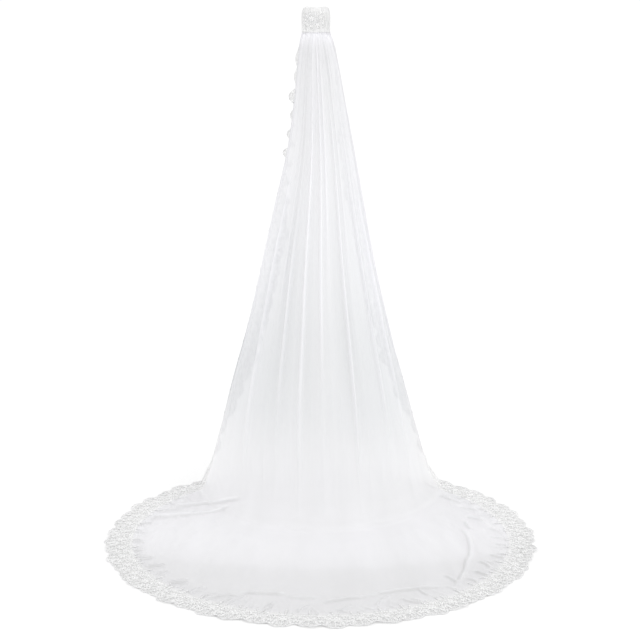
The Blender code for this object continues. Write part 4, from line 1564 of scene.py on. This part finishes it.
def motif_parts():
    """Each petal and leaf of the motif: its kind and its Spray."""
    shorter, narrower = INNER_PETALS
    for x, z, petals, length, width, turn in BLOOMS:
        for k in range(petals):
            outer = turn + 360 * k / petals
            yield "petal", Spray(x, z, length, width, outer)
            inner = outer + 180 / petals
            yield "petal", Spray(x, z, length * shorter, width * narrower, inner)
    for spray in SPRAYS:
        yield "leaf", spray


def motif_rim():
    """The line of the motif's edge, with the turn of each of its points."""
    edge = np.linspace(0, 2 * np.pi, RIM_POINTS)
    side, rise = np.cos(edge), np.sin(edge)
    height = np.sign(rise) * motif_outline(side) * np.minimum(1, np.abs(rise) * RIM_ENDS)
    x = MOTIF_MIDDLE[0] + MOTIF_SIZE[0] * side
    return on_heading(x, MOTIF_MIDDLE[1] + height, RIM_THREAD), edge


def bead_places():
    """Places and sizes of the pearls on the flowers and leaves, and of the crystals."""
    pearls = [(bloom.x, bloom.z, bloom.length / PEARL_BLOOM) for bloom in BLOOMS]
    for spray in SPRAYS:
        aside, up = turned(0, (spray.length + PEARL_GAP) * MILLIMETRE, spray.turn)
        pearls.append((spray.x + aside, spray.z + up, PEARL_SHARE))
    crystals = []
    count = sizes().bead_count
    for k in range(count):
        turn = GOLDEN_ANGLE * k
        reach = math.sqrt((k + 0.5) / count)
        x = CRYSTAL_MIDDLE[0] + CRYSTAL_SPREAD[0] * reach * math.cos(turn)
        z = CRYSTAL_MIDDLE[1] + CRYSTAL_SPREAD[1] * reach * math.sin(turn)
        crystals.append((x, z, swing(*CRYSTAL_SIZES, 5.1 * k)))
    return pearls, crystals


def sew_beads(name, places, subdivisions, material):
    """Balls on the motif, all one piece."""
    ball, faces = modelled(
        bpy.ops.mesh.primitive_ico_sphere_add, subdivisions=subdivisions, radius=1.0
    )
    lift, share = BEAD_SEAT
    points, corners = [], []
    for i, (x, z, size) in enumerate(places):
        radius = sizes().bead_radius * size
        points.append(on_heading(np.array(x), np.array(z), lift + radius * share) + ball * radius)
        corners.append(faces + i * len(ball))
    piece = add_piece(name, np.concatenate(points), np.concatenate(corners), material)
    return piece


class VEIL_OT_motif(bpy.types.Operator):
    """Lay the beaded lace motif on the back of the heading"""

    bl_idname = "veil.motif"
    bl_label = "Beaded motif"

    def execute(self, context):
        across = np.linspace(-1, 1, MOTIF_COLUMNS)
        shares = np.linspace(1, -1, MOTIF_ROWS)[:, None]
        x = MOTIF_MIDDLE[0] + MOTIF_SIZE[0] * across + 0 * shares
        z = MOTIF_MIDDLE[1] + shares * motif_outline(across)
        ground = add_piece(
            "motif_net",
            on_heading(x, z, MOTIF_NET_LIFT),
            grid_faces(*x.shape),
            tulle_material("motif_net", looks().net, MOTIF_CELL),
            cloth=np.stack((x, z, 0 * x), axis=2),
            tone=MOTIF_TONE,
            cover=MOTIF_COVER,
        )
        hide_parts("lace_motif")
        work = Embroidery()
        shapes = {
            "petal": petal_shape(5, PETAL_WAIST, 0.0),
            "leaf": petal_shape(5, 0.0, LEAF_POINT),
        }
        for kind, part in motif_parts():
            shape, faces = shapes[kind]
            length = shape[:, 1] * part.length * MILLIMETRE
            aside, up = turned(shape[:, 0] * part.width * MILLIMETRE, length, part.turn)
            lift = PETAL_LIFT + shape[:, 2] * MOTIF_RELIEF
            points = on_heading(part.x + aside, part.z + up, lift)
            work.add(points, faces[:, ::-1], length)
        line, turn = motif_rim()
        work.loop(line, RIM_THREAD, 5, turn * RIM_RUN)
        raised = work.made(
            "motif_embroidery", thread_material(), lambda points: np.full(len(points), MOTIF_LIGHT)
        )
        pearls, crystals = bead_places()
        beads = [
            sew_beads("motif_pearls", pearls, 2, pearl_material()),
            sew_beads("motif_crystals", crystals, 1, crystal_material()),
        ]
        beads[1].data.shade_flat()
        return {"FINISHED"}


# ---------------------------------------------------------------- the comb


class VEIL_OT_comb(bpy.types.Operator):
    """Model the clear comb and sew the heading to its bar"""

    bl_idname = "veil.comb"
    bl_label = "Comb"

    def execute(self, context):
        pitch = COMB_WIDTH / COMB_TEETH
        edges = []
        for k in range(COMB_TEETH):
            middle = (k + 0.5) * pitch - COMB_WIDTH / 2
            edges += [middle - TOOTH_ROOT / 2, middle + TOOTH_ROOT / 2]
        bpy.ops.object.select_all(action="DESELECT")
        bpy.ops.mesh.primitive_grid_add(
            x_subdivisions=len(edges) - 1, y_subdivisions=1, size=1.0
        )
        comb = bpy.context.active_object
        comb.name = "comb_clear"
        columns = sorted({round(v.co.x, 6) for v in comb.data.vertices})
        for v in comb.data.vertices:
            column = columns.index(round(v.co.x, 6))
            v.co = (edges[column], 0.0, math.copysign(COMB_BAR / 2, v.co.y))
        for step in range(1, TOOTH_STEPS + 1):
            self.extrude_teeth(comb.data, step)
        for modifier, settings in (
            ("SOLIDIFY", {"thickness": COMB_PLATE, "offset": 0.0}),
            ("BEVEL", {"width": COMB_BEVEL, "segments": 3, "limit_method": "ANGLE"}),
        ):
            added = comb.modifiers.new(modifier.title(), modifier)
            for key, value in settings.items():
                setattr(added, key, value)
            bpy.ops.object.modifier_apply(modifier=added.name)
        for v in comb.data.vertices:
            v.co.y += COMB_PLATE / 2
        bpy.ops.object.shade_smooth_by_angle(angle=math.radians(35))
        comb.data.materials.append(comb_material())
        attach(comb, "root")
        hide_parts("comb")
        self.stitches(pitch)
        return {"FINISHED"}

    def extrude_teeth(self, mesh, step):
        """Draws the lower edge of every tooth down one step, narrower and further forward."""
        level = -COMB_BAR / 2 - TOOTH_LENGTH * (step - 1) / TOOTH_STEPS
        bpy.ops.object.mode_set(mode="EDIT")
        bpy.ops.mesh.select_mode(type="EDGE")
        bpy.ops.mesh.select_all(action="DESELECT")
        bpy.ops.object.mode_set(mode="OBJECT")
        roots = []
        for edge in mesh.edges:
            a, b = (mesh.vertices[i].co for i in edge.vertices)
            middle = (a.x + b.x) / 2
            place = (middle + COMB_WIDTH / 2) / (COMB_WIDTH / COMB_TEETH) - 0.5
            edge.select = (
                max(abs(a.z - level), abs(b.z - level)) < NEAR
                and abs(a.x - b.x) < TOOTH_ROOT + NEAR
                and abs(place - round(place)) < NEAR_TOOTH
            )
            if edge.select:
                roots.append(middle)
        bpy.ops.object.mode_set(mode="EDIT")
        bpy.ops.mesh.extrude_region_move(
            TRANSFORM_OT_translate={"value": (0, 0, -TOOTH_LENGTH / TOOTH_STEPS)}
        )
        bpy.ops.object.mode_set(mode="OBJECT")
        share = step / TOOTH_STEPS
        width = TOOTH_ROOT + (TOOTH_TIP - TOOTH_ROOT) * share
        if step == TOOTH_STEPS:
            width *= TOOTH_END
        for v in mesh.vertices:
            if v.co.z < level - NEAR:
                middle = min(roots, key=lambda root: abs(root - v.co.x))
                v.co.x = middle + math.copysign(width / 2, v.co.x - middle)
                v.co.y = COMB_REACH * share**2

    def stitches(self, pitch):
        """Loops of thread round the bar, between the teeth."""
        work = Embroidery()
        turn = np.linspace(0, 2 * np.pi, STITCH_POINTS)
        y = STITCH_PLACE + STITCH_DEPTH * np.sin(turn)
        z = STITCH_HEIGHT * np.cos(turn)
        for k in range(1, COMB_TEETH):
            for lean in STITCH_LEANS:
                x = k * pitch - COMB_WIDTH / 2 + lean * np.cos(turn)
                work.loop(np.stack((x, y, z), axis=1), STITCH_RADIUS, 6, turn * STITCH_RUN)
        piece = work.made("comb_stitches", thread_material())


# ---------------------------------------------------------------- the stage
class VEIL_OT_stage(bpy.types.Operator):
    """Set the pale floor, the soft studio light and the camera"""

    bl_idname = "veil.stage"
    bl_label = "Stage"

    def execute(self, context):
        scene = context.scene
        bpy.ops.object.select_all(action="DESELECT")
        place = (0.0, 0.0, FLOOR - FLOOR_GAP)
        bpy.ops.mesh.primitive_plane_add(size=FLOOR_SIZE, location=place)
        floor = context.active_object
        floor.name = "studio_floor"
        floor.data.materials.append(floor_material())
        world = scene.world or bpy.data.worlds.new("studio")
        scene.world = world
        world.use_nodes = True
        background = world.node_tree.nodes["Background"]
        background.inputs["Color"].default_value = (1.0, 1.0, 1.0, 1.0)
        background.inputs["Strength"].default_value = WORLD_STRENGTH
        sun = bpy.data.lights.new("key", "SUN")
        sun.energy = KEY_STRENGTH
        sun.angle = math.radians(KEY_ANGLE)
        key = bpy.data.objects.new("key", sun)
        key.rotation_euler = [math.radians(turn) for turn in KEY_TURN]
        context.collection.objects.link(key)
        lens = bpy.data.cameras.new("camera")
        lens.lens = LENS
        lens.sensor_width = SENSOR
        camera = bpy.data.objects.new("camera", lens)
        camera.location = CAMERA_PLACE
        camera.rotation_euler = (math.radians(90 - CAMERA_DROP), 0.0, 0.0)
        context.collection.objects.link(camera)
        scene.camera = camera
        scene.view_settings.view_transform = "Standard"
        scene.cycles.transparent_max_bounces = 32
        return {"FINISHED"}


class VEIL_PT_panel(bpy.types.Panel):
    """Lists the veil's pieces and settings"""

    bl_label = "Bridal veil"
    bl_idname = "VEIL_PT_panel"
    bl_space_type = "VIEW_3D"
    bl_region_type = "UI"
    bl_category = "Veil"

    def draw(self, context):
        for operator in OPERATORS:
            self.layout.operator(operator.bl_idname)
        for group in (context.scene.veil.sizes, context.scene.veil.looks):
            for name in group.bl_rna.properties.keys():
                if name not in ("rna_type", "name"):
                    self.layout.prop(group, name)


OPERATORS = (
    VEIL_OT_tulle,
    VEIL_OT_heading,
    VEIL_OT_lace,
    VEIL_OT_motif,
    VEIL_OT_comb,
    VEIL_OT_stage,
)
CLASSES = (VeilSizes, VeilLooks, VeilSettings, *OPERATORS, VEIL_PT_panel)


def register():
    for cls in CLASSES:
        bpy.utils.register_class(cls)
    bpy.types.Scene.veil = PointerProperty(type=VeilSettings)


def unregister():
    del bpy.types.Scene.veil
    for cls in reversed(CLASSES):
        bpy.utils.unregister_class(cls)


def main():
    register()
    for step in ("tulle", "heading", "lace", "motif", "comb", "stage"):
        getattr(bpy.ops.veil, step)()


if __name__ == "__main__":
    main()
